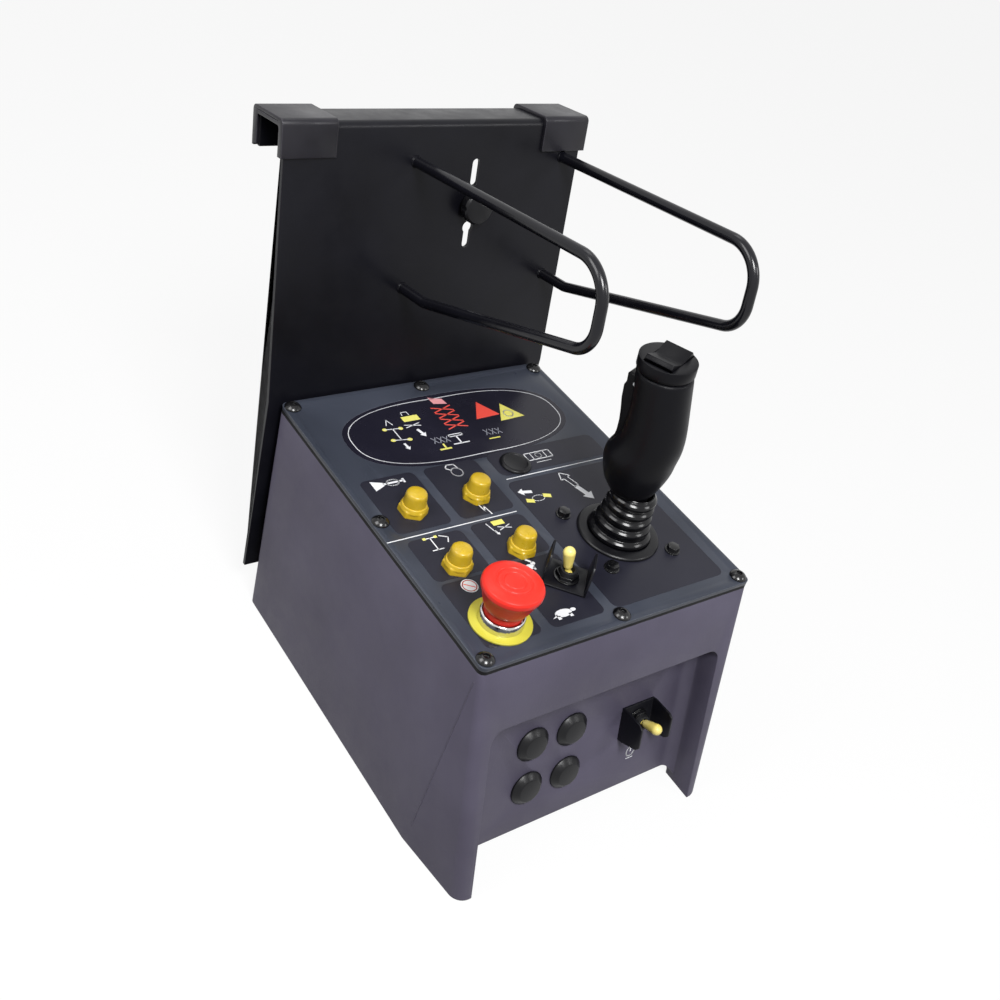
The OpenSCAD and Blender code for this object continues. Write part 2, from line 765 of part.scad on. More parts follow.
module toggle_guard() {
    t = 1.5;
    edge = guard_d / 2 - 3;
    color("#121214") union() {
        difference() {
            translate([-guard_w / 2, -guard_d / 2, 0]) cube([guard_w, guard_d, t]);
            translate([0, 0, -1]) cylinder(r = 6 + screw_fit, h = 5);
        }
        for (s = [-1, 1]) translate([s * (guard_w / 2 - t / 2), 0, 0]) rotate([90, 0, 90])
            linear_extrude(t, center = true) union() {
                polygon([[-guard_d / 2, 0], [guard_d / 2, 0], [guard_d / 2, t + 3], [edge, guard_h - 3],
                    [edge - 3, guard_h], [3 - edge, guard_h], [-edge, guard_h - 3], [-guard_d / 2, t + 3]]);
            }
    }
}

module toggle_nut() {
    color("#2c2d31") translate([0, 0, 1.5]) union() {
        tube(18, 12 + 2 * run_fit, 1);
        translate([0, 0, 1 - eps]) hex_nut(14, 12 + 2 * run_fit, 3);
    }
}

// A metal stem on a ball, with a yellow sleeve; it leans towards -x by the angle given
module toggle_lever(lean) {
    color("#f2d544") translate([0, 0, lever_z]) rotate([0, -lean, 0]) union() {
        sphere(r = 3.6, $fn = 48);
        rotate([90, 0, 0]) cylinder(r = 1.2, h = 8, center = true);
        cylinder(r = 2, h = 12);
        translate([0, 0, bush_top - lever_z + 1.5]) union() {
            cylinder(r1 = 3, r2 = 4.3, h = lever_len - 4.3);
            translate([0, 0, lever_len - 4.3]) sphere(r = 4.3, $fn = 48);
        }
    }
}

module on_speed() on_panel([speed_x, speed_y]) rotate(speed_turn) children();
module on_power() on_recess([power_x, -power_s]) children();

module speed_switch() on_speed() toggle_switch(panel_t);
module speed_guard() on_speed() toggle_guard();
module speed_nut() on_speed() toggle_nut();
module speed_lever() on_speed() toggle_lever(lever_lean);
module power_switch() on_power() toggle_switch(wall);
module power_guard() on_power() toggle_guard();
module power_nut() on_power() toggle_nut();
module power_lever() on_power() rotate(90) toggle_lever(-lever_lean);

// ---- Joystick -----------------------------------------------------------------------------

axle_r = 3;
base_w = 50;

// The body under the panel: a mounting flange and a box, open above for the swinging shaft
module joystick_base() {
    color("#26272b") on_joystick() translate([0, 0, -panel_t]) difference() {
        union() {
            translate([0, 0, -4]) linear_extrude(4) rounded_rect(70, 70, 6);
            translate([-base_w / 2, -base_w / 2, -46]) cube([base_w, base_w, 43]);
        }
        translate([-16, -21, -38]) cube([32, 42, 50]);
        translate([-base_w, 0, panel_t - joy_pivot]) rotate([0, 90, 0]) cylinder(r = axle_r, h = 2 * base_w);
        for (p = joy_screw_places) translate([p.x, p.y, -10]) cylinder(r = 2.5 + screw_fit, h = 20);
    }
}

module joystick_axle() {
    color("#c4c6c9") on_joystick() translate([-22, 0, -joy_pivot]) rotate([0, 90, 0]) cylinder(r = axle_r, h = 44);
}

module joystick_shaft() {
    color("#aeb0b3") union() {
        on_joystick() translate([-7, 0, -joy_pivot]) rotate([0, 90, 0]) difference() {
            cylinder(r = 8, h = 14);
            translate([0, 0, -1]) cylinder(r = axle_r + run_fit, h = 16);
        }
        on_grip() translate([0, 0, -joy_pivot + 7]) cylinder(r = 5, h = 60 + joy_pivot - 7);
        on_joystick() translate([0, 0, -joy_pivot - 24]) cylinder(r = 4, h = 17);
    }
}

module joystick_ring() {
    r = joy_ring_d / 2;
    color("#131315") on_joystick() rotate_extrude() polygon([[23.4, 0], [r, 0], [r, 1.4], [r - 1, 2.4], [24.6, 3.2],
        [23.4, 3.2]]);
}

// Five rounded folds between the ring and the grip's neck, 1.2 mm thick
function bellows_r(i) = 16 + 5 * pow(0.4, max(i - 2, 0) / 2) - (i % 2 == 0 ? 0 : 2.6);
bellows_side = concat([[23.3, 0], [23.3, 1.2]], [for (i = [1 : 10]) [bellows_r(i), 1.2 + 25.8 * i / 10]]);

module joystick_bellows() {
    last = len(bellows_side) - 1;
    color("#0f0f11") on_joystick() rotate_extrude() polygon(concat(bellows_side,
        [for (i = [last : -1 : 0]) bellows_side[i] - [i == 0 ? 3 : 1.2, 0]]));
}

module joystick_screws() {
    color("#17171a") for (p = joy_screw_places) on_joystick() translate([p.x, p.y, 0]) union() {
        cylinder(d = 11, h = 1);
        translate([0, 0, 1 - eps]) hex(8, 3.6);
        translate([0, 0, -panel_t - 12]) cylinder(r = 2.5, h = panel_t + 12 + eps);
    }
}

module joystick_nuts() {
    color("#b9bbbd") for (p = joy_screw_places) on_joystick() translate([p.x, p.y, -panel_t - 8])
        hex_nut(8, 5 + 2 * run_fit, 4);
}

// The barrel's middle line bows away from the trigger between the neck and the cap
function bow(z) = -grip_bow * sin(180 * (z - grip_z0) / (grip_z1 - grip_z0));
neck_r = 14.5;
palm_z = 63;
palm_r = grip_r + 4.5;

// The barrel, the swelling for the palm and the neck, as discs and balls joined in a chain
module grip_form() {
    hull() {
        translate([0, bow(grip_z1 - 1), grip_z1 - 1]) cylinder(r = grip_r, h = 1, $fn = 32);
        translate([0, bow(112), 112]) cylinder(r = grip_r, h = 1, $fn = 32);
    }
    hull() {
        translate([0, bow(112), 112]) cylinder(r = grip_r, h = 1, $fn = 32);
        translate([0, bow(88), 88]) cylinder(r = grip_r + 1.2, h = 1, $fn = 32);
    }
    hull() {
        translate([0, bow(88), 88]) cylinder(r = grip_r + 1.2, h = 1, $fn = 32);
        translate([0, bow(palm_z), palm_z]) sphere(r = palm_r, $fn = 32);
    }
    hull() {
        translate([0, bow(palm_z), palm_z]) sphere(r = palm_r, $fn = 32);
        translate([0, 0, grip_z0]) cylinder(r = neck_r, h = 2, $fn = 32);
    }
}

trigger_z = 124;
trigger_y = grip_r - 6.5;

// The trigger's outline in the y-z plane, grown by a clearance and pulled by an angle
module trigger_profile(grow = 0, pull = 0) {
    translate([trigger_y, trigger_z]) rotate(-pull) {
        circle(5 + grow);
        for (p = [[grip_r - 2, 100, 3], [grip_r - 0.5, 66, 3], [grip_r - 5, 62, 3], [grip_r - 9, 100, 3]])
            translate([p.x - trigger_y, p.y - trigger_z]) circle(p.z + grow);
    }
}

module grip_shell() {
    color("#1c1d20") on_grip() difference() {
        grip_form();
        translate([0, 0, grip_z0 - 5]) cylinder(r = 5, h = 60 - grip_z0 + 5.5);
        rotate([90, 0, 90]) linear_extrude(19, center = true) hull() {
            trigger_profile(0.6);
            trigger_profile(0.6, trigger_pull);
        }
        translate([-15, trigger_y, trigger_z]) rotate([0, 90, 0]) cylinder(r = 1.5, h = 30);
        translate([0, 0, grip_z1 - 8]) cylinder(r = 9, h = 9);
    }
}

module grip_trigger() {
    color("#131416") on_grip() difference() {
        rotate([90, 0, 90]) linear_extrude(18, center = true) hull() trigger_profile();
        translate([-20, trigger_y, trigger_z]) rotate([0, 90, 0]) cylinder(r = 1.5 + run_fit, h = 40);
    }
}

module trigger_pin() {
    color("#c4c6c9") on_grip() translate([-11.5, trigger_y, trigger_z]) rotate([0, 90, 0]) cylinder(r = 1.5, h = 23);
}

rocker_z = grip_z1 + 6;

module grip_cap() {
    r = grip_r;
    color("#18191c") on_grip() translate([0, 0, grip_z1]) difference() {
        union() {
            cylinder(r = r - 0.7, h = 1.5);
            translate([0, 0, 1.5 - eps]) cylinder(r = r + 0.3, h = 7.5);
        }
        translate([-16, -10.5, 2.4]) cube([32, 21, 20]);
        translate([0, -14, rocker_z - grip_z1]) rotate([-90, 0, 0]) cylinder(r = 1.5, h = 28);
    }
}

// Two raised paddles with a valley between them, tipping about a pin
module grip_rocker() {
    h = grip_z2 - rocker_z;
    color("#101113") on_grip() translate([0, 0, rocker_z]) difference() {
        intersection() {
            rotate([90, 0, 0]) linear_extrude(20, center = true) polygon([[-4, -2.6], [4, -2.6], [13.5, 2],
                [15, h - 2.5], [13, h], [3, 3.6], [0, 3], [-3, 3.6], [-13, h], [-15, h - 2.5], [-13.5, 2]]);
            translate([0, 0, -5]) cylinder(r = grip_r - 1, h = 40);
        }
        translate([0, -20, 0]) rotate([-90, 0, 0]) cylinder(r = 1.5 + run_fit, h = 40);
    }
}

module rocker_pin() {
    color("#c4c6c9") on_grip() translate([0, -13, rocker_z]) rotate([-90, 0, 0]) cylinder(r = 1.5, h = 26);
}

// ---- Inside the box -------------------------------------------------------------------------

board_x = -20;
board_y = 180;
board_z = floor_z + 3 + 8;
board_places = [for (x = [-50, 50], y = [-38, 38]) [board_x + x, board_y + y]];
gland_x = 75;
gland_y = 215;

module control_board() {
    color("#1f5a38") in_box() difference() {
        union() {
            translate([board_x - 56, board_y - 44, board_z]) cube([112, 88, 1.6]);
            translate([board_x - 20, board_y - 16, board_z + 1.5]) cube([32, 32, 4]);
            for (i = [0 : 3]) translate([board_x + 24, board_y - 34 + i * 18, board_z + 1.5]) cube([16, 12, 14]);
            for (i = [0 : 2]) translate([board_x - 42, board_y - 20 + i * 20, board_z + 1.5])
                cylinder(d = 10, h = 14);
        }
        for (p = board_places) translate([p.x, p.y, board_z - 1]) cylinder(r = 1.5 + run_fit, h = 4);
    }
}

module board_standoffs() {
    color("#c9cacc") in_box() for (p = board_places) translate([p.x, p.y, 0]) union() {
        translate([0, 0, floor_z + 3]) hex(6, board_z - floor_z - 3);
        translate([0, 0, floor_z]) cylinder(r = 1.5, h = board_z - floor_z + 3.5);
    }
}

module terminal_block() {
    color("#3f6f4a") in_box() difference() {
        translate([60, 120, floor_z + 3]) cube([22, 66, 24]);
        for (i = [0 : 7]) translate([71, 124 + i * 7.7 + 2.5, floor_z + 17]) cylinder(d = 4.5, h = 20);
        for (i = [0 : 7]) translate([50, 124 + i * 7.7, floor_z + 6]) cube([16, 5, 8]);
    }
}

module cable_gland() {
    color("#1b1b1e") in_box() translate([gland_x, gland_y, floor_z]) difference() {
        union() {
            translate([0, 0, -6]) hex(24, 6);
            translate([0, 0, -11]) cylinder(d1 = 18, d2 = 22, h = 5 + eps);
            cylinder(r = 10, h = 14);
        }
        translate([0, 0, -20]) cylinder(d = 10, h = 60);
    }
}

module gland_nut() {
    color("#1b1b1e") in_box() translate([gland_x, gland_y, floor_z + 3]) hex_nut(26, 20 + 2 * run_fit, 5);
}

housing();
floor_plate();
floor_screws();
panel_gasket();
control_panel();
panel_screws();
display_window();
display_board();
display_standoffs();
blanking_plug();
hole_plugs();
bracket_plate();
bracket_bolts();
bracket_nuts();
hook_pad_left();
hook_pad_right();
hoop_left();
hoop_right();
clamp_knob();
clamp_washer();
clamp_nut();
estop_ring();
estop_bezel();
estop_nut();
estop_contacts();
estop_head();
button_boots();
button_switches();
horn_button();
start_button();
steer_button();
lift_button();
speed_switch();
speed_guard();
speed_nut();
speed_lever();
power_switch();
power_guard();
power_nut();
power_lever();
joystick_base();
joystick_axle();
joystick_shaft();
joystick_ring();
joystick_bellows();
joystick_screws();
joystick_nuts();
grip_shell();
grip_cap();
grip_trigger();
trigger_pin();
grip_rocker();
rocker_pin();
control_board();
board_standoffs();
terminal_block();
cable_gland();
gland_nut();
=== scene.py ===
# %% [markdown]
# This lesson dresses the control box of a lifting platform.

# %% Load the frame
import json
import math

import bmesh
import bpy
from mathutils import Matrix, Vector


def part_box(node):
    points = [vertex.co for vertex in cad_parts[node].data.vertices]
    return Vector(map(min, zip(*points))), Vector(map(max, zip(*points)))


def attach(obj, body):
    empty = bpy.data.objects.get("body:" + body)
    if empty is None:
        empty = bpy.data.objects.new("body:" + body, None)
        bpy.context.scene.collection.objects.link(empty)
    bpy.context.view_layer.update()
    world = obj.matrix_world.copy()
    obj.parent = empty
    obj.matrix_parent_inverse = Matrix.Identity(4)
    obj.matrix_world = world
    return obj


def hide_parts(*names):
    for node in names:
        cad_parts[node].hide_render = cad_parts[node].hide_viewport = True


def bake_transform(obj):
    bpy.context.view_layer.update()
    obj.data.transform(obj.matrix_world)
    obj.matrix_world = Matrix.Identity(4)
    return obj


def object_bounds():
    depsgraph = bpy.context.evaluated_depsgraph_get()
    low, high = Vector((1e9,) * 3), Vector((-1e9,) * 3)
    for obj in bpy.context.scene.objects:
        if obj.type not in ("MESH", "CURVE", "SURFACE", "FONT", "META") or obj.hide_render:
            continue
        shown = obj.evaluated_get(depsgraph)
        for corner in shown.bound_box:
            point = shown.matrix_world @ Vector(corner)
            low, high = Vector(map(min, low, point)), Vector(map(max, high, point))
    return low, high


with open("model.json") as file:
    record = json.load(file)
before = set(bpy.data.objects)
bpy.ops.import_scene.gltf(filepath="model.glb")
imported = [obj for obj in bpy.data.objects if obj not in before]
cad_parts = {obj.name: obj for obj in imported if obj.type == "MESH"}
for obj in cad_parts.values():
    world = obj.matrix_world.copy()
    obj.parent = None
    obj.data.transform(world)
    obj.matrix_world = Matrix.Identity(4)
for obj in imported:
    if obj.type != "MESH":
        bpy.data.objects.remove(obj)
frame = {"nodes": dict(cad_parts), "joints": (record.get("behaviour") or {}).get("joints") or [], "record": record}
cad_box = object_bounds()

MM = 0.001
body_of = {n: b for b, names in frame["record"]["behaviour"]["bodies"].items() for n in names}
joints = {j["name"]: j for j in frame["joints"]}

# %% [markdown]
# Parts are drawn from a few datums, as in a workshop. The panel's front edge and top face place
# all the controls. The leaning plate has its datum at the clamp knob, whose joint gives both the
# point and the lean. The grip leans and turns a little on the stick's foot: the trigger's pin lies
# across it and the rocker's pin along it, so the two joints give its own axes.

# %% Datums
panel_low, panel_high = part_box("control_panel")
panel_front, panel_top = panel_low.y, panel_high.z


def on_panel(x, y, z=0.0):
    """A place in mm from the panel's middle, its front edge and its top face."""
    return Matrix.Translation((x * MM, panel_front + y * MM, panel_top + z * MM))


def panel_place(node):
    """The middle of a node, in mm from the panel's middle and its front edge."""
    low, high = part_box(node)
    return (low.x + high.x) / 2 / MM, ((low.y + high.y) / 2 - panel_front) / MM


knob = joints["knob_turn"]
plate_lean = math.asin(knob["axis"][2])
on_plate = Matrix.Translation(knob["pos_m"]) @ Matrix.Rotation(-plate_lean, 4, "X")

stick = joints["joystick_tilt"]["pos_m"]
stick_x, stick_y = stick[0] / MM, (stick[1] - panel_front) / MM
on_stick = on_panel(stick_x, stick_y)
grip_x, grip_y = -Vector(joints["trigger_pull"]["axis"]), Vector(joints["rocker_tip"]["axis"])
on_grip = on_stick @ Matrix((grip_x, grip_y, grip_x.cross(grip_y))).transposed().to_4x4()
print("plate leans %.1f degrees; joystick at %.1f, %.1f mm" % (math.degrees(plate_lean), stick_x, stick_y))

# %% [markdown]
# Every finish below is a small node tree. One helper adds a node, sets it and links it, so each
# material reads as a list of what happens to the surface. Colours are written as the hex values
# seen on a screen, and one function turns them into the linear light that the shader wants.

# %% Node helper and colour
def add(tree, kind, links=None, **settings):
    """Adds a node; settings are its properties or input values, links its input connections."""
    made = tree.nodes.new("ShaderNode" + kind)
    for name, value in settings.items():
        if hasattr(made, name):
            setattr(made, name, value)
        else:
            made.inputs[name.replace("_", " ")].default_value = value
    for name, source in (links or {}).items():
        tree.links.new(source, made.inputs[name])
    return made


def hex_colour(text):
    """An sRGB hex value as linear red, green, blue and alpha."""
    parts = [int(text[i:i + 2], 16) / 255 for i in (1, 3, 5)]
    return [c / 12.92 if c <= 0.04045 else ((c + 0.055) / 1.055) ** 2.4 for c in parts] + [1.0]


def start_material(name):
    """A material with an empty tree, its output and its object coordinates in metres."""
    material = bpy.data.materials.new(name)
    material.use_nodes = True
    tree = material.node_tree
    tree.nodes.clear()
    out = add(tree, "OutputMaterial")
    place = add(tree, "TexCoord").outputs["Object"]
    return material, tree, out, place


# %% [markdown]
# Moulded plastic, rubber and powder coat all get their look from the same three things: a colour
# that drifts a little over the hand's breadth, a grain whose size is known in millimetres, and a
# gloss that is uneven where hands and cloths have polished it. The noise scale is one over the
# grain's size in metres. The sharpest edges wear and catch light, so a Bevel node rounds them for
# the light, and its difference from the true normal marks a pale band along each edge: wear where
# an edge has been rubbed, and on the panel film a painted highlight along its edge.

# %% Moulded and coated surfaces
COLOUR_A, COLOUR_B, MIXED_COLOUR = 6, 7, 2  # the Mix node's places for colours
SMEAR_MM, UNEVEN_GLOSS = 18, 0.06


def coated(name, base, drift, wear_and_highlight_colour, rough, grain_mm, depth_mm, drift_mm=70, soft_mm=0.5, wear_and_highlight=0.35,
           level=0.5):
    """base and drift are its two close colours, the third the pale colour of its sharp edges: wear, and on the
    panel film a painted edge highlight.
    """
    material, tree, out, place = start_material(name)
    cloud = add(tree, "TexNoise", {"Vector": place}, Scale=1 / (drift_mm * MM), Detail=3.0, Roughness=0.55)
    grain = add(tree, "TexNoise", {"Vector": place}, Scale=1 / (grain_mm * MM), Detail=2.0, Roughness=0.5)
    smear = add(tree, "TexNoise", {"Vector": place}, Scale=1 / (SMEAR_MM * MM), Detail=5.0, Roughness=0.65)
    body = add(tree, "MapRange", {"Value": cloud.outputs["Fac"]}, From_Min=0.35, From_Max=0.65)
    colour = add(tree, "Mix", {"Factor": body.outputs["Result"]}, data_type="RGBA")
    colour.inputs[COLOUR_A].default_value = hex_colour(base)
    colour.inputs[COLOUR_B].default_value = hex_colour(drift)
    soft = add(tree, "Bevel", samples=6, Radius=soft_mm * MM)
    true = add(tree, "NewGeometry")
    edge = add(tree, "VectorMath", {0: soft.outputs["Normal"], 1: true.outputs["Normal"]},
               operation="DOT_PRODUCT")
    # A pale band along sharp edges: real wear, and on the panel film a painted highlight.
    wear_and_highlight_band = add(tree, "MapRange", {"Value": edge.outputs["Value"]},
               From_Min=0.999, From_Max=0.86, To_Min=0.0, To_Max=wear_and_highlight)
    broken = add(tree, "Math", {0: wear_and_highlight_band.outputs["Result"], 1: smear.outputs["Fac"]}, operation="MULTIPLY")
    shown = add(tree, "Mix", {"Factor": broken.outputs["Value"], COLOUR_A: colour.outputs[MIXED_COLOUR]},
                data_type="RGBA")
    shown.inputs[COLOUR_B].default_value = hex_colour(wear_and_highlight_colour)
    gloss = add(tree, "MapRange", {"Value": smear.outputs["Fac"]}, From_Min=0.3, From_Max=0.7,
                To_Min=rough - UNEVEN_GLOSS, To_Max=rough + UNEVEN_GLOSS)
    bump = add(tree, "Bump", {"Height": grain.outputs["Fac"], "Normal": soft.outputs["Normal"]},
               Strength=1.0, Distance=depth_mm * MM)
    shader = add(tree, "BsdfPrincipled", {"Base Color": shown.outputs[MIXED_COLOUR],
                                          "Roughness": gloss.outputs["Result"],
                                          "Normal": bump.outputs["Normal"]}, Specular_IOR_Level=level)
    tree.links.new(shader.outputs["BSDF"], out.inputs["Surface"])
    return material


# Rotationally moulded polyethylene: satin, with a fine orange-peel and pale scuffed edges.
housing_plastic = coated("rotomoulded_polyethylene", "#4c4858", "#565263", "#86828f", rough=0.5,
                         grain_mm=1.7, depth_mm=0.07, wear_and_highlight=0.3, level=0.3)
floor_plastic = coated("flat_polyethylene_sheet", "#2c2b31", "#333238", "#66656b", rough=0.5,
                       grain_mm=1.6, depth_mm=0.02)
# Black powder coat on steel: a fine even pebble, half gloss.
black_powder = coated("black_powder_coat", "#0b0b10", "#101016", "#34343b", rough=0.34, grain_mm=0.9,
                      depth_mm=0.012, wear_and_highlight=0.12, level=0.2)
# The same coat on the drawn rod comes out smoother and glossier.
rod_powder = coated("glossy_black_powder_coat", "#0a0a0f", "#0f0f15", "#3a3a42", rough=0.2, grain_mm=0.9,
                    depth_mm=0.005, wear_and_highlight=0.1, level=0.35)
# Rubber: a bloom greys the pads in patches, the seal is dull, the bellows and the boots shine.
pad_rubber = coated("moulded_rubber_pad", "#151419", "#1e1d23", "#77747f", rough=0.36, grain_mm=1.3,
                    depth_mm=0.02, drift_mm=28, soft_mm=1.1, wear_and_highlight=0.4, level=0.3)
seal_rubber = coated("black_seal_rubber", "#070709", "#0b0b0d", "#1c1c1e", rough=0.6, grain_mm=1.2,
                     depth_mm=0.015, wear_and_highlight=0.1, level=0.15)
bellows_rubber = coated("black_bellows_rubber", "#060609", "#09090c", "#18181b", rough=0.17,
                        grain_mm=2.0, depth_mm=0.004, soft_mm=0.3, wear_and_highlight=0.1, level=0.28)
boot_yellow = coated("yellow_silicone_boot", "#b8991c", "#c5a526", "#dcc054", rough=0.3, grain_mm=1.5,
                     depth_mm=0.012, drift_mm=12, soft_mm=0.7, wear_and_highlight=0.2)
# Moulded nylon and ABS: matt texture on the grip, smoother on plugs and knob.
grip_plastic = coated("textured_grip_nylon", "#08080b", "#0c0c10", "#222226", rough=0.38, grain_mm=0.7,
                      depth_mm=0.02, soft_mm=0.6, wear_and_highlight=0.12, level=0.12)
black_plastic = coated("black_moulded_nylon", "#0a0a0d", "#0f0f12", "#303034", rough=0.34, grain_mm=1.5,
                       depth_mm=0.008, soft_mm=0.5, wear_and_highlight=0.15, level=0.25)
switch_body = coated("black_phenolic", "#141416", "#19191b", "#3b3b3d", rough=0.5, grain_mm=1.2,
                     depth_mm=0.01, level=0.3)
terminal_green = coated("green_polyamide", "#2c6b3f", "#317446", "#7aa886", rough=0.45, grain_mm=1.2,
                        depth_mm=0.008)
circuit_green = coated("circuit_board_laminate", "#14492c", "#185232", "#6f8f5c", rough=0.3,
                       grain_mm=3.0, depth_mm=0.004)
print("coated finishes:", len(bpy.data.materials))

# %% [markdown]
# Glossy plastics are the same tree with a smoother surface. The mushroom head is red
# polycarbonate, and the lever sleeves are soft yellow vinyl that has picked up a little grime. The
# smoked window film and the black zinc on the screws come from it too.

# %% Glossy plastics
estop_red = coated("red_polycarbonate", "#dd2b22", "#e43429", "#f2705f", rough=0.36, grain_mm=3.0,
                   depth_mm=0.003, drift_mm=30, soft_mm=0.6, wear_and_highlight=0.15, level=0.25)
estop_yellow = coated("yellow_legend_ring", "#b4ac2e", "#beb63a", "#dcd690", rough=0.36, grain_mm=2.0,
                      depth_mm=0.005)
lever_yellow = coated("yellow_vinyl_sleeve", "#efd96c", "#f5e48c", "#fbf2c0", rough=0.33, grain_mm=1.4,
                      depth_mm=0.006, drift_mm=9, wear_and_highlight=0.3)
dark_window = coated("smoked_window_film", "#191823", "#1d1c28", "#353642", rough=0.24, grain_mm=3.0,
                     depth_mm=0.002, soft_mm=0.2, wear_and_highlight=0.1, level=0.25)
black_zinc = coated("black_zinc_steel", "#08080a", "#0b0b0d", "#333336", rough=0.2, grain_mm=1.4,
                    depth_mm=0.004, soft_mm=0.4, wear_and_highlight=0.15, level=0.45)


# %% [markdown]
# Bare metal is brushed zinc on the nuts and polished nickel-chrome on the bezel. Metal has no
# colour of its own but tints what it mirrors, so metallic is 1 and the base colour is pale. Fine
# scratches run round the bezel because it was turned on a lathe.

# %% Metals
def metal(name, tint, dark, rough, scratch_mm, depth_mm):
    """tint and dark are the colours of clean and stained metal, rough its gloss between scratches."""
    material, tree, out, place = start_material(name)
    stretch = add(tree, "Mapping", {"Vector": place}, Scale=(1, 1, 12))
    lines = add(tree, "TexNoise", {"Vector": stretch.outputs["Vector"]}, Scale=1 / (scratch_mm * MM),
                Detail=3.0)
    stain = add(tree, "TexNoise", {"Vector": place}, Scale=1 / (9 * MM), Detail=4.0)
    colour = add(tree, "Mix", {"Factor": stain.outputs["Fac"]}, data_type="RGBA")
    colour.inputs[COLOUR_A].default_value = hex_colour(tint)
    colour.inputs[COLOUR_B].default_value = hex_colour(dark)
    gloss = add(tree, "MapRange", {"Value": lines.outputs["Fac"]}, To_Min=rough - 0.05, To_Max=rough + 0.08)
    soft = add(tree, "Bevel", samples=6, Radius=0.3 * MM)
    bump = add(tree, "Bump", {"Height": lines.outputs["Fac"], "Normal": soft.outputs["Normal"]},
               Strength=1.0, Distance=depth_mm * MM)
    shader = add(tree, "BsdfPrincipled", {"Base Color": colour.outputs[MIXED_COLOUR],
                                          "Roughness": gloss.outputs["Result"],
                                          "Normal": bump.outputs["Normal"]}, Metallic=1.0)
    tree.links.new(shader.outputs["BSDF"], out.inputs["Surface"])
    return material


zinc_steel = metal("zinc_plated_steel", "#c3c4c6", "#9fa1a4", rough=0.3, scratch_mm=1.2, depth_mm=0.003)
chrome_bezel = metal("nickel_chrome_plate", "#dcdcde", "#c6c3bb", rough=0.09, scratch_mm=4.0,
                     depth_mm=0.0004)
print("materials so far:", len(bpy.data.materials))

# %% [markdown]
# The control panel is a sheet with a printed film on it. The film is slate grey with a faint
# lighter drift, and it is printed with darker fields, fine white rules and pictograms. They are
# separate thin shapes here, each standing about a tenth of a millimetre proud, because ink and
# film have crisp edges and a real mesh keeps them crisp from any distance.

# %% Panel film and inks
# The film's pale edge colour is a painted highlight: it stands for light caught along the panel's edge.
panel_overlay = coated("slate_polyester_film", "#31353f", "#393d48", "#b4b8c0", rough=0.33, grain_mm=0.8,
                       depth_mm=0.006, drift_mm=90, soft_mm=0.3, wear_and_highlight=0.6, level=0.25)
field_ink = coated("navy_black_ink", "#1d1d27", "#21212b", "#3a3b46", rough=0.36, grain_mm=0.8,
                   depth_mm=0.004, wear_and_highlight=0.1, level=0.22)
white_ink = coated("white_ink", "#d9dade", "#e4e5e8", "#ffffff", rough=0.42, grain_mm=1.0,
                   depth_mm=0.002, wear_and_highlight=0.0)
yellow_ink = coated("pale_yellow_ink", "#d6cf5e", "#dfd978", "#ffffff", rough=0.42, grain_mm=1.0,
                    depth_mm=0.002, wear_and_highlight=0.0)
red_ink = coated("signal_red_ink", "#df4a3e", "#e65c50", "#ffffff", rough=0.42, grain_mm=1.0,
                 depth_mm=0.002, wear_and_highlight=0.0)
rose_ink = coated("rose_ink", "#d98d92", "#e5a5aa", "#ffffff", rough=0.42, grain_mm=1.0, depth_mm=0.002,
                  wear_and_highlight=0.0)
grey_ink = coated("grey_ink", "#8b8d98", "#9a9ca6", "#ffffff", rough=0.42, grain_mm=1.0, depth_mm=0.002,
                  wear_and_highlight=0.0)

FINISH = {
    "housing_plastic": housing_plastic, "floor_plastic": floor_plastic, "black_zinc_screw": black_zinc,
    "seal_rubber": seal_rubber, "panel_overlay": panel_overlay, "dark_window": dark_window,
    "circuit_green": circuit_green, "zinc_steel": zinc_steel, "black_plastic": black_plastic,
    "black_powder": black_powder, "pad_rubber": pad_rubber, "estop_yellow": estop_yellow,
    "chrome_bezel": chrome_bezel, "estop_red": estop_red, "boot_yellow": boot_yellow,
    "switch_body": switch_body, "lever_yellow": lever_yellow, "grip_plastic": grip_plastic,
    "bellows_rubber": bellows_rubber, "terminal_green": terminal_green,
}
slot_of = {part["node"]: part["material_slot"] for part in frame["record"]["subparts"]}
for name, solid in frame["nodes"].items():
    solid.data.materials.clear()
    solid.data.materials.append(FINISH[slot_of[name]])

# %% [markdown]
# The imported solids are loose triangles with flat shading, which shows facets on round parts. For
# each visible solid a copy is merged, its flat faces are joined, its edges sharper than 35 degrees
# get a small real round, and the rest is shaded smooth. The copy then stands for the solid, so
# its shape and place stay exactly those of the CAD.

# %% Soft-edged copies of the solids
SAME_POINT, SAME_FACE, SHARP = 2e-6, math.radians(0.6), math.radians(35)


def keep(mesh, name, body, slot, *stands_for):
    """Makes an object of a finished mesh, in its finish, riding on its body."""
    piece = bpy.data.objects.new(name, mesh)
    bpy.context.scene.collection.objects.link(piece)
    if not mesh.materials:
        mesh.materials.append(FINISH[slot])
    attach(piece, body)
    if stands_for:
        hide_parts(*stands_for)
    return piece


def to_mesh(bm, name, smooth=35.0):
    """Closes a bmesh into a mesh, smooth except at edges sharper than the angle in degrees."""
    for face in bm.faces:
        face.smooth = True
    for edge in bm.edges:
        edge.smooth = len(edge.link_faces) == 2 and edge.calc_face_angle(0.0) < math.radians(smooth)
    mesh = bpy.data.meshes.new(name)
    bm.to_mesh(mesh)
    bm.free()
    return mesh


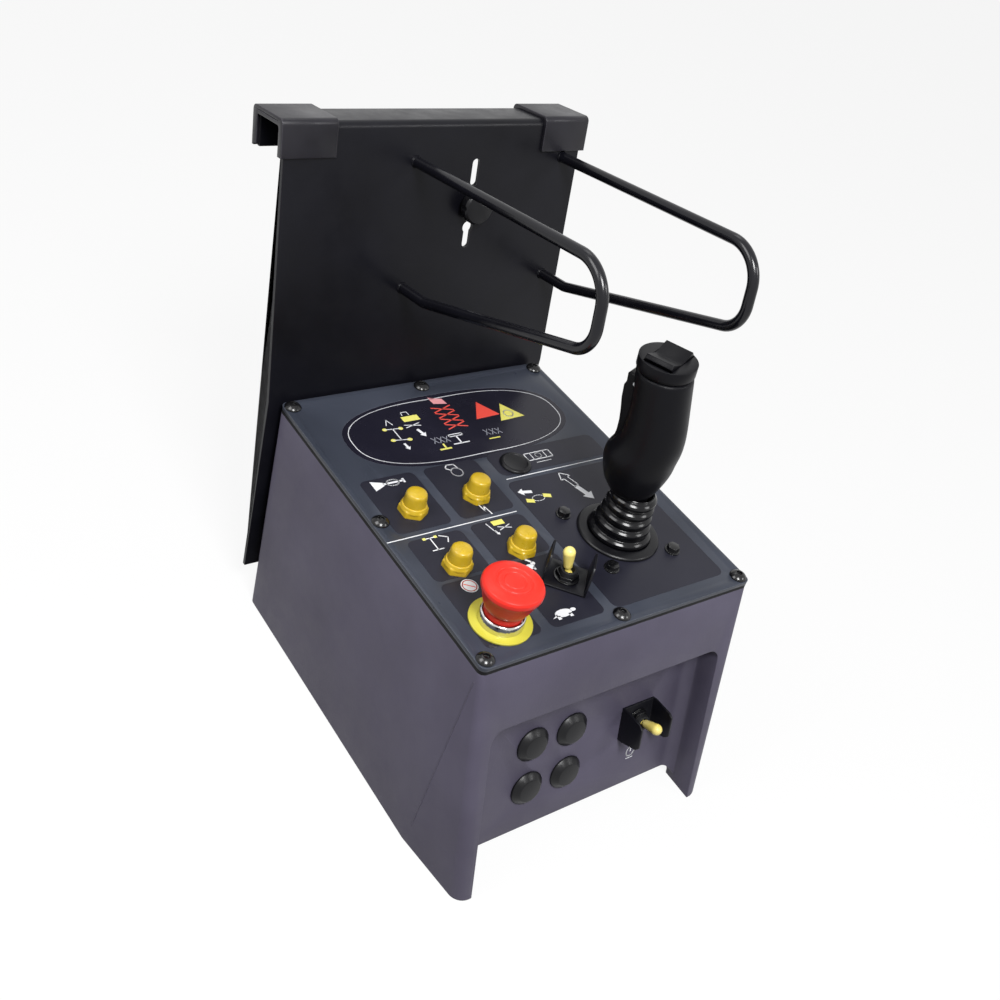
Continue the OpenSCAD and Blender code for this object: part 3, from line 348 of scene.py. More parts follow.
def soften(node, round_mm):
    """A copy of a solid with real rounds on its sharp edges."""
    bm = bmesh.new()
    bm.from_mesh(frame["nodes"][node].data)
    bmesh.ops.remove_doubles(bm, verts=bm.verts, dist=SAME_POINT)
    bmesh.ops.dissolve_limit(bm, angle_limit=SAME_FACE, verts=bm.verts, edges=bm.edges, delimit=set())
    sharp = [e for e in bm.edges if len(e.link_faces) == 2 and e.calc_face_angle(0.0) > SHARP]
    if round_mm:
        bmesh.ops.bevel(bm, geom=sharp, offset=round_mm * MM, segments=2, profile=0.5,
                        affect="EDGES", clamp_overlap=True, material=-1)
    keep(to_mesh(bm, node + "_soft"), node + "_soft", body_of[node], slot_of[node], node)


ROUNDS = {
    "housing": 0.9, "control_panel": 0.4, "panel_gasket": 0.0, "panel_screws": 0.25, "blanking_plug": 0.4,
    "hole_plugs": 0.4, "bracket_plate": 0.35, "bracket_bolts": 0.25, "hook_pad_left": 1.2,
    "hook_pad_right": 1.2, "clamp_knob": 0.5, "clamp_washer": 0.2, "clamp_nut": 0.3, "estop_ring": 0.25,
    "estop_bezel": 0.3, "speed_guard": 0.2, "speed_nut": 0.25, "speed_lever": 0.3, "power_guard": 0.2,
    "power_nut": 0.25, "power_lever": 0.3, "joystick_ring": 0.3, "joystick_screws": 0.35,
    "grip_cap": 0.5, "grip_rocker": 0.8, "floor_plate": 0.4, "floor_screws": 0.2, "cable_gland": 0.4,
    "speed_switch": 0.25, "power_switch": 0.25,
}
for node, size in ROUNDS.items():
    soften(node, size)
print("softened solids:", len(ROUNDS))

# %% [markdown]
# The two hoops are 8 mm steel rod, bent cold round a former and welded to the plate. They are
# made as the shop makes them: one ring of points is run straight, spun round each bend's centre,
# run straight again, and so on. A ring of 40 points stays round in every view.

# %% Bent rod hoops
ROD_R, BIG_BEND, SMALL_BEND, STUB, HOOP_REACH = 4, 26, 21, 28, 211
KNOB_UP = 139  # how far up the plate the knob is, from which the hoop's heights are counted
HOOP_TOP, HOOP_LOW, HOOP_ROOT = 171.8 - KNOB_UP, 113 - KNOB_UP, 78 - KNOB_UP
IN_PLATE = 0.5  # how deep the rod's ends sit in the plate
WELD_R, WELD_LONG = 4.6, 1.4


def run(bm, ring, vector):
    """Extrudes the ring of edges straight along a vector in mm and returns the new ring."""
    made = bmesh.ops.extrude_edge_only(bm, edges=ring)["geom"]
    verts = [v for v in made if isinstance(v, bmesh.types.BMVert)]
    bmesh.ops.translate(bm, verts=verts, vec=Vector(vector))
    return [e for e in made
            if isinstance(e, bmesh.types.BMEdge) and e.verts[0] in verts and e.verts[1] in verts]


def bend(bm, ring, centre, degrees, steps):
    """Spins the ring about an X-wise axis through the centre, as a bend in the rod."""
    made = bmesh.ops.spin(bm, geom=ring, cent=Vector(centre), axis=Vector((1, 0, 0)), dvec=Vector(),
                          angle=math.radians(degrees), steps=steps, use_duplicate=False)["geom_last"]
    return [e for e in made if isinstance(e, bmesh.types.BMEdge)]


def rod_hoop(node, x):
    """The rod at x mm from the knob, run from its upper root round to its lower one, with its welds."""
    bm = bmesh.new()
    facing = Matrix.Rotation(math.pi / 2, 4, "X")
    start = bmesh.ops.create_circle(bm, segments=40, radius=ROD_R,
                                    matrix=Matrix.Translation((x, IN_PLATE, HOOP_TOP)) @ facing)
    ring = list({e for v in start["verts"] for e in v.link_edges})
    cap_a = list(ring)
    low = (x, SMALL_BEND - HOOP_REACH, HOOP_LOW + SMALL_BEND)
    kink = (x, -STUB, HOOP_ROOT + SMALL_BEND)
    rise = math.degrees(math.atan2(low[2] - kink[2], kink[1] - low[1]))
    ring = run(bm, ring, (0, BIG_BEND - HOOP_REACH - IN_PLATE, 0))
    ring = bend(bm, ring, (x, BIG_BEND - HOOP_REACH, HOOP_TOP - BIG_BEND), 90, 18)
    ring = run(bm, ring, (0, 0, low[2] - (HOOP_TOP - BIG_BEND)))
    ring = bend(bm, ring, low, 90 - rise, 16)
    ring = run(bm, ring, (0, kink[1] - low[1], kink[2] - low[2]))
    ring = bend(bm, ring, kink, rise, 4)
    ring = run(bm, ring, (0, STUB + IN_PLATE, 0))
    bmesh.ops.holes_fill(bm, edges=cap_a + ring, sides=64)
    for z in (HOOP_TOP, HOOP_ROOT):
        weld = bmesh.ops.create_cone(bm, cap_ends=True, segments=40, radius1=WELD_R,
                                     radius2=ROD_R + 0.05, depth=WELD_LONG)["verts"]
        bmesh.ops.transform(bm, verts=weld, matrix=Matrix.Translation((x, -WELD_LONG / 2, z)) @ facing)
    bmesh.ops.recalc_face_normals(bm, faces=bm.faces)
    bmesh.ops.transform(bm, verts=bm.verts, matrix=on_plate @ Matrix.Scale(MM, 4))
    mesh = to_mesh(bm, node + "_rod", 50)
    mesh.materials.append(rod_powder)
    return keep(mesh, node + "_rod", "control_box", "black_powder", node)


knob_x = knob["pos_m"][0] / MM
for node in ("hoop_left", "hoop_right"):
    low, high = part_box(node)
    made = rod_hoop(node, (low.x + high.x) / 2 / MM - knob_x)
    print(made.name, len(made.data.polygons), "faces")

# %% [markdown]
# Turned and moulded round parts come from one half-section, spun a full turn. The helper takes
# the section as radius and height pairs, rounds its corners with a bevel, and spins it. The
# mushroom head has a fat rim, a skirt that narrows into the hollow bezel and two rings on its top.

# %% Spun pieces
def spun(section, place, segments=72, corner=0.0):
    """A closed half-section of radius and height pairs in mm, spun round its own axis."""
    bm = bmesh.new()
    points = [bm.verts.new((r, 0, z)) for r, z in section]
    edges = [bm.edges.new(pair) for pair in zip(points, points[1:])]
    if corner:
        bmesh.ops.bevel(bm, geom=points[1:-1], offset=corner, segments=3, profile=0.5,
                        affect="VERTICES", clamp_overlap=True, material=-1)
    bmesh.ops.spin(bm, geom=list(bm.verts) + list(bm.edges), cent=(0, 0, 0), axis=(0, 0, 1), dvec=(0, 0, 0),
                   angle=math.tau, steps=segments, use_merge=True, use_duplicate=False)
    bmesh.ops.remove_doubles(bm, verts=bm.verts, dist=1e-4)
    bmesh.ops.recalc_face_normals(bm, faces=bm.faces)
    bmesh.ops.transform(bm, verts=bm.verts, matrix=place @ Matrix.Scale(MM, 4))
    return bm


head_low, head_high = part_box("estop_head")
top = (head_high.z - panel_top) / MM
rim_r = (head_high.x - head_low.x) / 2 / MM
mushroom = [(0, 8.6), (13.2, 8.6), (13.2, 14.2), (14.7, 14.9), (16.2, 18.4), (17.9, top - 12.4),
            (19.3, top - 8.6), (rim_r, top - 6.0), (rim_r, top - 3.4), (rim_r - 1.0, top - 1.7),
            (rim_r - 3.2, top - 0.8), (14.6, top - 0.3), (12.2, top - 0.15), (11.7, top - 0.8),
            (11.0, top - 0.8), (10.5, top - 0.2), (8.0, top - 0.15), (7.6, top - 0.65),
            (7.0, top - 0.65), (6.5, top - 0.1), (0, top)]
bm = spun(mushroom, on_panel(*panel_place("estop_head")), corner=0.35)
head = keep(to_mesh(bm, "mushroom_head", 60), "mushroom_head", "estop_head", "estop_red", "estop_head")
print("mushroom head:", len(head.data.polygons), "faces, top at", round(top, 1), "mm")

# %% [markdown]
# The yellow boots are one soft silicone moulding each: a hexagon that a spanner turns, a shoulder
# and a thimble over the plunger. The thimble moves with its button, and the hexagon stays on the
# panel. The hexagon starts as a six-sided cone, and its edges are bevelled like a real moulding.

# %% Boots and thimbles
BUTTONS = ("steer_button", "lift_button", "horn_button", "start_button")
BOOT_TOP = (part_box("horn_button")[1].z - panel_top) / MM
BOOT_AF = 18.5
HEX_HIGH, HEX_CORNER = 5.2, BOOT_AF / math.sqrt(3)
SHOULDER_R, SHOULDER_TOP_R, SHOULDER_HIGH, SHOULDER_UP = 9.9, 8.9, 3.6, 5.4
for name in BUTTONS:
    thimble = [(0, 5.2), (8.15, 5.2), (8.15, 7.4), (7.9, 10), (7.5, BOOT_TOP - 2.8), (6.9, BOOT_TOP - 1.2),
               (5.4, BOOT_TOP - 0.35), (2.6, BOOT_TOP), (0, BOOT_TOP + 0.05)]
    bm = spun(thimble, on_panel(*panel_place(name)), segments=48, corner=0.5)
    keep(to_mesh(bm, name + "_thimble", 60), name + "_thimble", name, "boot_yellow", name)

bm = bmesh.new()
for name in BUTTONS:
    x, y = panel_place(name)
    spin_by = math.radians(0 if x < -50 else 30)  # the two pairs came to rest at different turns
    place = on_panel(x, y, HEX_HIGH / 2) @ Matrix.Rotation(spin_by, 4, "Z")
    hexagon = bmesh.ops.create_cone(bm, cap_ends=True, segments=6, radius1=HEX_CORNER * MM * 1.03,
                                    radius2=HEX_CORNER * MM, depth=HEX_HIGH * MM, matrix=place)["verts"]
    around = {e for v in hexagon if v.co.z > panel_top + 1 * MM for e in v.link_edges}
    bmesh.ops.bevel(bm, geom=list(around), offset=1.1 * MM, segments=3, profile=0.5, affect="EDGES",
                    clamp_overlap=True, material=-1)
    shoulder = bmesh.ops.create_cone(bm, cap_ends=True, segments=48, radius1=SHOULDER_R * MM,
                                     radius2=SHOULDER_TOP_R * MM, depth=SHOULDER_HIGH * MM,
                                     matrix=on_panel(x, y, SHOULDER_UP))["verts"]
    rim = {e for v in shoulder for e in v.link_edges if min(w.co.z for w in e.verts) > panel_top + 7 * MM}
    bmesh.ops.bevel(bm, geom=list(rim), offset=0.6 * MM, segments=3, profile=0.5, affect="EDGES",
                    clamp_overlap=True, material=-1)
flanges = keep(to_mesh(bm, "boot_flanges", 40), "boot_flanges", "control_box", "boot_yellow",
               "button_boots")
print("boots:", len(flanges.data.polygons), "faces in the flanges")

# %% [markdown]
# The bellows keeps dirt out of the joystick's slot. It is thin black rubber in five folds, each
# smaller than the one below, and the last ones grip the neck. They are spun from a zigzag whose
# corners are rounded and given a wall with solidify.

# %% Bellows
FOLDS, NECK_R, BLEND_END, FOLD_TOP, RUBBER_WALL = 5, 13.8, 27.0, 40.5, 0.9
section = [(23.4, 0.3), (23.2, 2.0)]
for i in range(FOLDS):
    crest, z = 16.3 + 6.9 * 0.6 ** i, 1.4 + (FOLD_TOP - 2.2) * (i + 0.5) / FOLDS
    section += [(crest - 0.5, z - 2.4), (crest, z - 0.6), (crest - 0.3, z + 1.1), (crest - 1.6, z + 2.3),
                (crest - 3.0, z + 3.2), (crest - 3.1, z + 4.1)]
section += [(NECK_R + 0.6, FOLD_TOP - 0.6), (NECK_R, FOLD_TOP)]
bm = spun(section, on_stick, corner=0.6)
bmesh.ops.solidify(bm, geom=bm.faces, thickness=RUBBER_WALL * MM)
bmesh.ops.recalc_face_normals(bm, faces=bm.faces)
bellows = bpy.data.objects.new("bellows_folds", to_mesh(bm, "bellows_folds", 70))
bpy.context.scene.collection.objects.link(bellows)
bellows.data.materials.append(bellows_rubber)
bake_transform(bellows)
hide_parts("joystick_bellows")
print("bellows:", len(bellows.data.polygons), "faces")

# %% [markdown]
# The grip is moulded for a hand: a round neck, a flared foot that the little finger rests on and
# a slimmer barrel that bows away from the trigger. It is one ring of points that is run up the
# grip's axis and reshaped at each height, and a subdivision surface joins the heights smoothly.
# The trigger's pocket is then cut out of it, wide enough for the whole pull.

# %% Grip body
# Height above the panel, radius, and how far the ring's middle stands towards the fingers.
RINGS = [(29, 13.0, 0), (30, 13.3, 0), (39.5, 13.4, 0), (41.5, 16.0, 0), (45, 18.2, 0.6),
         (50, 20.8, 1.0), (57, 23.1, 0.7), (64, 24.7, 0.4), (70, 24.9, 0.1), (75, 24.2, -1.6),
         (80, 22.8, -3.8), (87, 21.7, -5.2), (96, 20.9, -5.4), (108, 20.0, -4.4), (122, 19.5, -2.6),
         (135.4, 19.6, -0.4), (136.8, 19.2, -0.2)]

bm = bmesh.new()
z, radius, lean = RINGS[0]
bmesh.ops.create_circle(bm, cap_ends=True, segments=40, radius=radius,
                        matrix=Matrix.Translation((0, lean, z)))
edges = list(bm.edges)
for z1, radius1, lean1 in RINGS[1:]:
    edges = run(bm, edges, (0, lean1 - lean, z1 - z))
    verts = list({v for e in edges for v in e.verts})
    middle = Matrix.Translation((0, lean1, z1))
    bmesh.ops.scale(bm, verts=verts, vec=(radius1 / radius, radius1 / radius, 1), space=middle.inverted())
    z, radius, lean = z1, radius1, lean1
bmesh.ops.contextual_create(bm, geom=edges)
bmesh.ops.recalc_face_normals(bm, faces=bm.faces)
bmesh.ops.transform(bm, verts=bm.verts, matrix=on_grip @ Matrix.Scale(MM, 4))
grip = bpy.data.objects.new("grip_body", to_mesh(bm, "grip_body", 60))
bpy.context.scene.collection.objects.link(grip)
surface = grip.modifiers.new("smooth", "SUBSURF")
surface.levels = surface.render_levels = 2


def apply_modifiers(piece):
    """Swaps a piece's mesh for what its modifiers make of it."""
    graph = bpy.context.evaluated_depsgraph_get()
    done = bpy.data.meshes.new_from_object(piece.evaluated_get(graph))
    piece.modifiers.clear()
    piece.data = done


apply_modifiers(grip)

# %% [markdown]
# The trigger is a long paddle hinged under the cap. Its side view is a closed outline that is
# extruded across the grip and rounded over. The pocket's cutter is the convex hull of the same
# outline, grown a little, at rest and at full pull, so the paddle clears the grip.

# %% Trigger paddle and its pocket
pull = joints["trigger_pull"]
PADDLE_HALF, CLEARANCE = 9.0, 0.6
paddle_side = [(10.0, 129.0), (19.6, 129.4), (21.4, 127.6), (21.0, 121.6), (22.2, 118.4),
               (21.6, 109), (20.0, 100), (19.0, 92), (18.9, 84), (19.8, 77), (20.2, 73.4),
               (17.6, 71.0), (13.6, 71.0), (10.0, 76), (8.0, 100), (8.0, 124)]


def paddle(half_width, grow=0.0):
    """The trigger's outline as a solid in the grip's own axes, grown outward by so many mm."""
    bm = bmesh.new()
    middle_y = sum(y for y, z in paddle_side) / len(paddle_side)
    middle_z = sum(z for y, z in paddle_side) / len(paddle_side)
    outline = []
    for y, z in paddle_side:
        away = Vector((0, y - middle_y, z - middle_z)).normalized() * grow
        outline.append(bm.verts.new((-half_width, y + away.y, z + away.z)))
    face = bm.faces.new(outline)
    made = bmesh.ops.extrude_face_region(bm, geom=[face])["geom"]
    bmesh.ops.translate(bm, verts=[v for v in made if isinstance(v, bmesh.types.BMVert)],
                        vec=(2 * half_width, 0, 0))
    bmesh.ops.recalc_face_normals(bm, faces=bm.faces)
    return bm


bm = paddle(PADDLE_HALF)
long_edges = [e for e in bm.edges if abs(e.verts[0].co.x - e.verts[1].co.x) < 0.1]
bmesh.ops.bevel(bm, geom=long_edges, offset=2.2, segments=4, profile=0.5, affect="EDGES",
                clamp_overlap=True, material=-1)
bmesh.ops.transform(bm, verts=bm.verts, matrix=on_grip @ Matrix.Scale(MM, 4))
keep(to_mesh(bm, "trigger_paddle", 50), "trigger_paddle", "trigger", "grip_plastic", "grip_trigger")

pivot = Vector(pull["pos_m"])
full_pull = Matrix.Rotation(math.radians(pull["range_deg"][1]), 4, Vector(pull["axis"]))
full_pull = Matrix.Translation(pivot) @ full_pull @ Matrix.Translation(-pivot)
shape = paddle(PADDLE_HALF + CLEARANCE, CLEARANCE)
bm = bmesh.new()
for place in (on_grip @ Matrix.Scale(MM, 4), full_pull @ on_grip @ Matrix.Scale(MM, 4)):
    for vert in shape.verts:
        bm.verts.new(place @ vert.co)
spare = bmesh.ops.convex_hull(bm, input=list(bm.verts))
bmesh.ops.delete(bm, geom=list(set(spare["geom_interior"] + spare["geom_unused"])), context="VERTS")
bmesh.ops.recalc_face_normals(bm, faces=bm.faces)
cutter = bpy.data.objects.new("pocket_cutter", to_mesh(bm, "pocket_cutter"))
bpy.context.scene.collection.objects.link(cutter)
cut = grip.modifiers.new("pocket", "BOOLEAN")
cut.object, cut.operation, cut.solver = cutter, "DIFFERENCE", "EXACT"
apply_modifiers(grip)
bpy.data.objects.remove(cutter)
grip.data.materials.clear()
grip.data.materials.append(grip_plastic)
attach(grip, "joystick")
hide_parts("grip_shell")
print("grip:", len(grip.data.polygons), "faces")

# %% [markdown]
# Now the print on the panel. Each printed shape is a flat outline in millimetres from the panel's
# front middle, given a little thickness. A field is a rectangle whose corners are rounded by a
# vertex bevel. Lines are drawn as strokes: one thin rectangle for each stretch of a polyline.

# %% Printing helpers
SUNK = 0.05  # how deep a printed shape's underside lies in its face, in mm


def print_flat(name, outlines, ink, level=0.12, corner=0.0, place=on_panel(0, 0)):
    """Outlines in mm become thin closed shapes, their tops level mm above the face that place gives."""
    bm = bmesh.new()
    for outline in outlines:
        bm.faces.new([bm.verts.new((x, y, -SUNK)) for x, y in outline])
    if corner:
        bmesh.ops.bevel(bm, geom=list(bm.verts), offset=corner, segments=5, profile=0.5, affect="VERTICES",
                        clamp_overlap=True, material=-1)
    made = bmesh.ops.extrude_face_region(bm, geom=list(bm.faces), use_keep_orig=True)["geom"]
    bmesh.ops.translate(bm, verts=[v for v in made if isinstance(v, bmesh.types.BMVert)],
                        vec=(0, 0, level + SUNK))
    bmesh.ops.recalc_face_normals(bm, faces=bm.faces)
    bmesh.ops.transform(bm, verts=bm.verts, matrix=place @ Matrix.Scale(MM, 4))
    mesh = to_mesh(bm, name)
    mesh.materials.append(ink)
    print(keep(mesh, name, "control_box", "panel_overlay").name, "from", len(outlines), "outlines")


def field(x0, y0, x1, y1):
    """A rectangle from its front left corner to its back right one."""
    return [(x0, y0), (x1, y0), (x1, y1), (x0, y1)]


def stroke(points, width=0.8, closed=False):
    """The thin rectangles that draw a polyline of that width."""
    pairs = list(zip(points, points[1:])) + ([(points[-1], points[0])] if closed else [])
    pieces = []
    for (x0, y0), (x1, y1) in pairs:
        run_x, run_y = x1 - x0, y1 - y0
        size = math.hypot(run_x, run_y)
        along = (run_x / size * width / 2, run_y / size * width / 2)
        across = (-along[1], along[0])
        pieces.append([(x0 - along[0] - across[0], y0 - along[1] - across[1]),
                       (x1 + along[0] - across[0], y1 + along[1] - across[1]),
                       (x1 + along[0] + across[0], y1 + along[1] + across[1]),
                       (x0 - along[0] + across[0], y0 - along[1] + across[1])])
    return pieces


def cross(x0, y0, x1, y1, width=0.7):
    """Two strokes from corner to corner of a rectangle."""
    return stroke([(x0, y0), (x1, y1)], width) + stroke([(x0, y1), (x1, y0)], width)


def round_outline(x, y, rx, ry=None, count=24, turn=0.0):
    """Points round an ellipse, for discs and loops."""
    ry = rx if ry is None else ry
    spin_by = math.radians(turn)
    points = []
    for i in range(count):
        a = math.tau * i / count
        px, py = rx * math.cos(a), ry * math.sin(a)
        points.append((x + px * math.cos(spin_by) - py * math.sin(spin_by),
                       y + px * math.sin(spin_by) + py * math.cos(spin_by)))
    return points


def moved(outline, x, y, turn=0.0, size=1.0):
    """An outline drawn about 0, 0, turned by degrees, scaled and moved to its place."""
    c, s = math.cos(math.radians(turn)) * size, math.sin(math.radians(turn)) * size
    return [(x + px * c - py * s, y + px * s + py * c) for px, py in outline]


ARROW = [(-5, -1.3), (1.2, -1.3), (1.2, -3.2), (5.2, 0), (1.2, 3.2), (1.2, 1.3), (-5, 1.3)]

# %% [markdown]
# Eight dark fields group the controls, and two white rules divide the rows.

# %% Fields and rules
print_flat("button_fields", [
    field(-106.5, 121.5, -62, 177.5), field(-54.5, 121.5, -8.5, 177.5), field(-105.5, 74, -61.5, 114),
    field(-54, 76, -8.5, 115), field(-105.5, 13, -61.5, 71.5), field(-53.5, 13, -8.5, 73.5)],
    field_ink, 0.08, corner=5)
print_flat("stick_fields", [field(1.5, 153, 103.5, 178.5), field(-0.5, 13, 103.5, 146)], field_ink, 0.08,
           corner=6)
rules = stroke([(-117.3, 117.4), (-11, 117.4)], 0.8) + stroke([(3, 149.6), (117.3, 149.6)], 0.8)
print_flat("white_rules", rules, white_ink, 0.11)

# %% [markdown]
# The oval window is a solid of its own, and a thin white line inside it follows its edge. The
# corners of its top face are taken in order round its middle and drawn in towards it twice, and
# the strip between the two loops is the line.

# %% The window's white line
window_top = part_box("display_window")[1].z
middle = Vector(panel_place("display_window"))
corners = {(round(v.co.x / MM - middle.x, 2), round((v.co.y - panel_front) / MM - middle.y, 2))
           for v in frame["nodes"]["display_window"].data.vertices if v.co.z > window_top - 0.01 * MM}
corners = sorted((Vector(c) for c in corners), key=lambda c: math.atan2(c.y, c.x))


def drawn_in(depth):
    """The window's outline, drawn in towards its middle by a depth in mm."""
    return [tuple(middle + c - c.normalized() * depth) for c in corners]


outer, inner = drawn_in(4.4), drawn_in(5.1)
strip = [[outer[i - 1], outer[i], inner[i], inner[i - 1]] for i in range(len(corners))]
window_level = (window_top - panel_top) / MM + 0.1
print_flat("window_line", strip, white_ink, window_level)

# %% [markdown]
# The pictograms are plain generic ones, drawn in strokes and small shapes: a horn, a lift, axles
# and wheels, arrows for the drive, a tortoise and a hare for slow and fast, and plain coloured
# lamps in the window. Words and numbers are left out.

# %% White pictograms
horn = [[(-98.3, 175.8), (-98.3, 165.6), (-89.5, 169.2), (-89.5, 172.4)],
        field(-90, 169.9, -73.5, 171.7), field(-74.2, 168.6, -72.4, 173.0)]
horn += stroke(round_outline(-82.2, 170.8, 5.0, 3.1, 16), 0.9, closed=True)
start = stroke(round_outline(-29.6, 167.6, 4.5, 4.5, 18), 0.9, closed=True)
start += stroke([(-33.6, 171), (-36.4, 173.6), (-33.4, 176.6), (-27.8, 176), (-26.8, 171.8)], 0.9)
spark = stroke([(-34.4, 132.2), (-33.2, 124.6), (-31.4, 129.6), (-29.9, 120.8)], 0.9)
drive = [moved(ARROW, 8.2, 133.4, 168, 1.15), moved(ARROW, 54.6, 119.6, -72, 1.7)]
drive += stroke(moved(ARROW, 50.4, 136, 108, 1.7), 0.9, closed=True)
tortoise = [round_outline(-38.6, 22.4, 6.8, 3.3, 20), round_outline(-30.2, 23.0, 2.3, 1.5, 12),
            field(-45.2, 18.0, -42.6, 21), field(-35.4, 18.0, -32.8, 21),
            [(-49, 20.0), (-44, 20.6), (-44, 22.6)]]
hare = [round_outline(-35.6, 66.2, 4.4, 2.5, 16), round_outline(-30.9, 68.6, 1.9, 1.6, 12),
        [(-31.6, 69.4), (-35.2, 73.2), (-32.9, 73.4), (-30.2, 69.9)], field(-39.2, 62.6, -37.4, 65.6),
        field(-33.2, 62.6, -31.6, 65.6)]
box_sign = stroke(field(33.2, 163.2, 56.4, 171.0), 0.8, closed=True)
box_sign += stroke([(38.6, 163.4), (38.6, 170.8)], 0.7) + stroke([(50.8, 163.4), (50.8, 170.8)], 0.7)
box_sign += stroke(round_outline(44.7, 167.1, 2.6, 2.6, 14), 0.7, closed=True)
box_sign += stroke([(38.5, 159.8), (52, 159.8)], 0.5)
lift_sign = stroke([(-40.6, 112.6), (-38.2, 103)], 0.8) + [moved(ARROW, -37.4, 102.6, -70, 0.5)]
lift_sign += cross(-33.8, 107.6, -24.2, 104.2)
steer_sign = stroke([(-91.2, 112.6), (-83, 112.6)], 0.9) + stroke([(-87.1, 112.6), (-87.1, 101)], 0.9)
steer_sign += stroke([(-91.2, 101), (-83, 101)], 0.9)
steer_sign += stroke([(-79.6, 112.8), (-74, 109.8), (-76.4, 105.6)], 0.8)
wheels = stroke(round_outline(14.6, 124.8, 5.4, 3.0, 14), 0.6, closed=True)
stop_sign = [round_outline(-85.6, 64.8, 6.0)]
signs = horn + start + spark + drive + tortoise + hare + box_sign + lift_sign + steer_sign + wheels
print_flat("white_signs", signs + stop_sign, white_ink, 0.11)
stop_ring = stroke(round_outline(-85.6, 64.8, 4.9, 4.9, 24), 0.8, closed=True)
stop_ring += stroke([(-88.6, 67.2), (-82.6, 62.4)], 0.8)
print_flat("stop_sign_ring", stop_ring, red_ink, 0.14)

# %% [markdown]
# Below the recess's switch there is one small round sign, printed on the sloping face. Beside the
# front leg a fine raised line runs down the left wall, where the halves of the mould met: a rod
# of a few faces, half sunk in the wall.

# %% Recess sign and parting line
RECESS_LEAN = 75.15  # degrees from level to the recess's face
on_recess = on_panel(54.8, -13.1, -147.0) @ Matrix.Rotation(math.radians(RECESS_LEAN), 4, "X")
recess_sign = stroke(round_outline(0, 0, 4.0, 4.0, 20), 1.1, closed=True)
recess_sign += stroke([(0, 5.8), (0, 0.4)], 1.2) + stroke([(-3.2, -6.0), (3.2, -6.0)], 0.7)
print_flat("recess_sign", recess_sign, white_ink, 0.1, place=on_recess)
PARTING_R = 0.35
upper_end, lower_end = on_panel(-118.0, 3.6, -14.1).translation, on_panel(-121.7, 9.3, -168.7).translation
line = lower_end - upper_end
along = line.to_track_quat("Z", "Y").to_matrix().to_4x4()
bm = bmesh.new()
bmesh.ops.create_cone(bm, cap_ends=True, segments=8, radius1=PARTING_R * MM, radius2=PARTING_R * MM,
                      depth=line.length, matrix=Matrix.Translation((upper_end + lower_end) / 2) @ along)
keep(to_mesh(bm, "parting_line"), "parting_line", "control_box", "housing_plastic")
print("parting line:", round(line.length / MM, 1), "mm")

# %% [markdown]
# The yellow and red signs come next. Those in the window lie on the window, a little higher.

# %% Coloured pictograms
tyre = field(-3.2, -1.9, 3.2, 1.9)
print_flat("yellow_signs", [
    field(-36.2, 109.2, -26.4, 113.8), field(-92.8, 111.6, -90.4, 113.8),
    field(-83.8, 111.6, -81.4, 113.8), moved(tyre, 6.6, 123.8, -20), moved(tyre, 22.8, 125.2, -20)],
    yellow_ink, 0.13)
lamp_red = [(33.4, 238.4), (21.4, 218.6), (44.2, 219.6)]
lamp_yellow = [(52.0, 231.8), (40.2, 211.8), (63.8, 212.8)]
crosses = [bar for y in (213.4, 220.4, 227.4, 234.4) for bar in cross(-7.4, y, 9.4, y + 5.6, 1.1)]
print_flat("window_red", [lamp_red] + crosses, red_ink, window_level)
rose = [(-3.4, 252.8), (-2.6, 244.6), (8.6, 242.0), (7.6, 248.8)]
print_flat("window_rose", [rose], rose_ink, window_level)
print_flat("window_yellow", [
    lamp_yellow, field(-37.6, 230.0, -23.2, 236.0), round_outline(-57.4, 225.4, 2.0, 1.7, 10),
    round_outline(-44.4, 224.0, 2.0, 1.7, 10), round_outline(-57.2, 212.6, 2.2, 1.7, 10),
    round_outline(-44.2, 210.6, 2.2, 1.7, 10), field(-28, 192.6, -17.6, 194.2),
    field(-22.9, 194, -21.3, 199.2), field(17.6, 194.2, 27.8, 195.4)], yellow_ink, window_level)
window_signs = (
    stroke([(-57.4, 225.4), (-44.4, 224.0)], 0.7)
    + stroke([(-50.9, 224.6), (-50.7, 211.6)], 0.9)
    + stroke([(-57.2, 212.6), (-44.2, 210.6)], 0.7)
    + stroke([(-53.6, 229.6), (-50.6, 235.6), (-48.4, 229.4)], 0.7)
    + [moved(ARROW, -50.6, 203.6, -84, 0.75), moved(ARROW, -31.0, 215.2, -74, 0.95)]
    + cross(-39.4, 226.6, -27, 223.4)
    + stroke([(-35.2, 237.6), (-34.6, 241.2), (-29.8, 241), (-29.4, 237.4)], 0.6)
    + stroke(field(-12.6, 205.0, -0.6, 207.2), 0.8, closed=True)
    + stroke([(-6.8, 205), (-6.8, 197)], 1.3)
    + stroke([(-13.4, 196.4), (-0.2, 196.4)], 1.1)
    + stroke(round_outline(51.9, 218.8, 4.0, 4.0, 18), 0.9, closed=True))
print_flat("window_white", window_signs, white_ink, window_level + 0.03)
MARKS = ((-28, 201), (-23, 200.6), (-18, 200.2), (18.4, 199.4), (23.6, 199), (28.8, 198.6))
marks = [bar for x, y in MARKS for bar in cross(x, y, x + 3.6, y + 6.2, 0.6)]
print_flat("window_grey", marks, grey_ink, window_level)

# %% [markdown]
# The camera stands above and to the left of the operator's side, looks down 37 degrees and is
# rolled a little, so that the box stands upright on its corner. Soft lamps light it from above
# left and from the right, at a level where a colour shows about as it is written. The floor and
# the world are white only to the camera and to what gloss and metal mirror, so the pale
# background puts no extra light on the black plate.

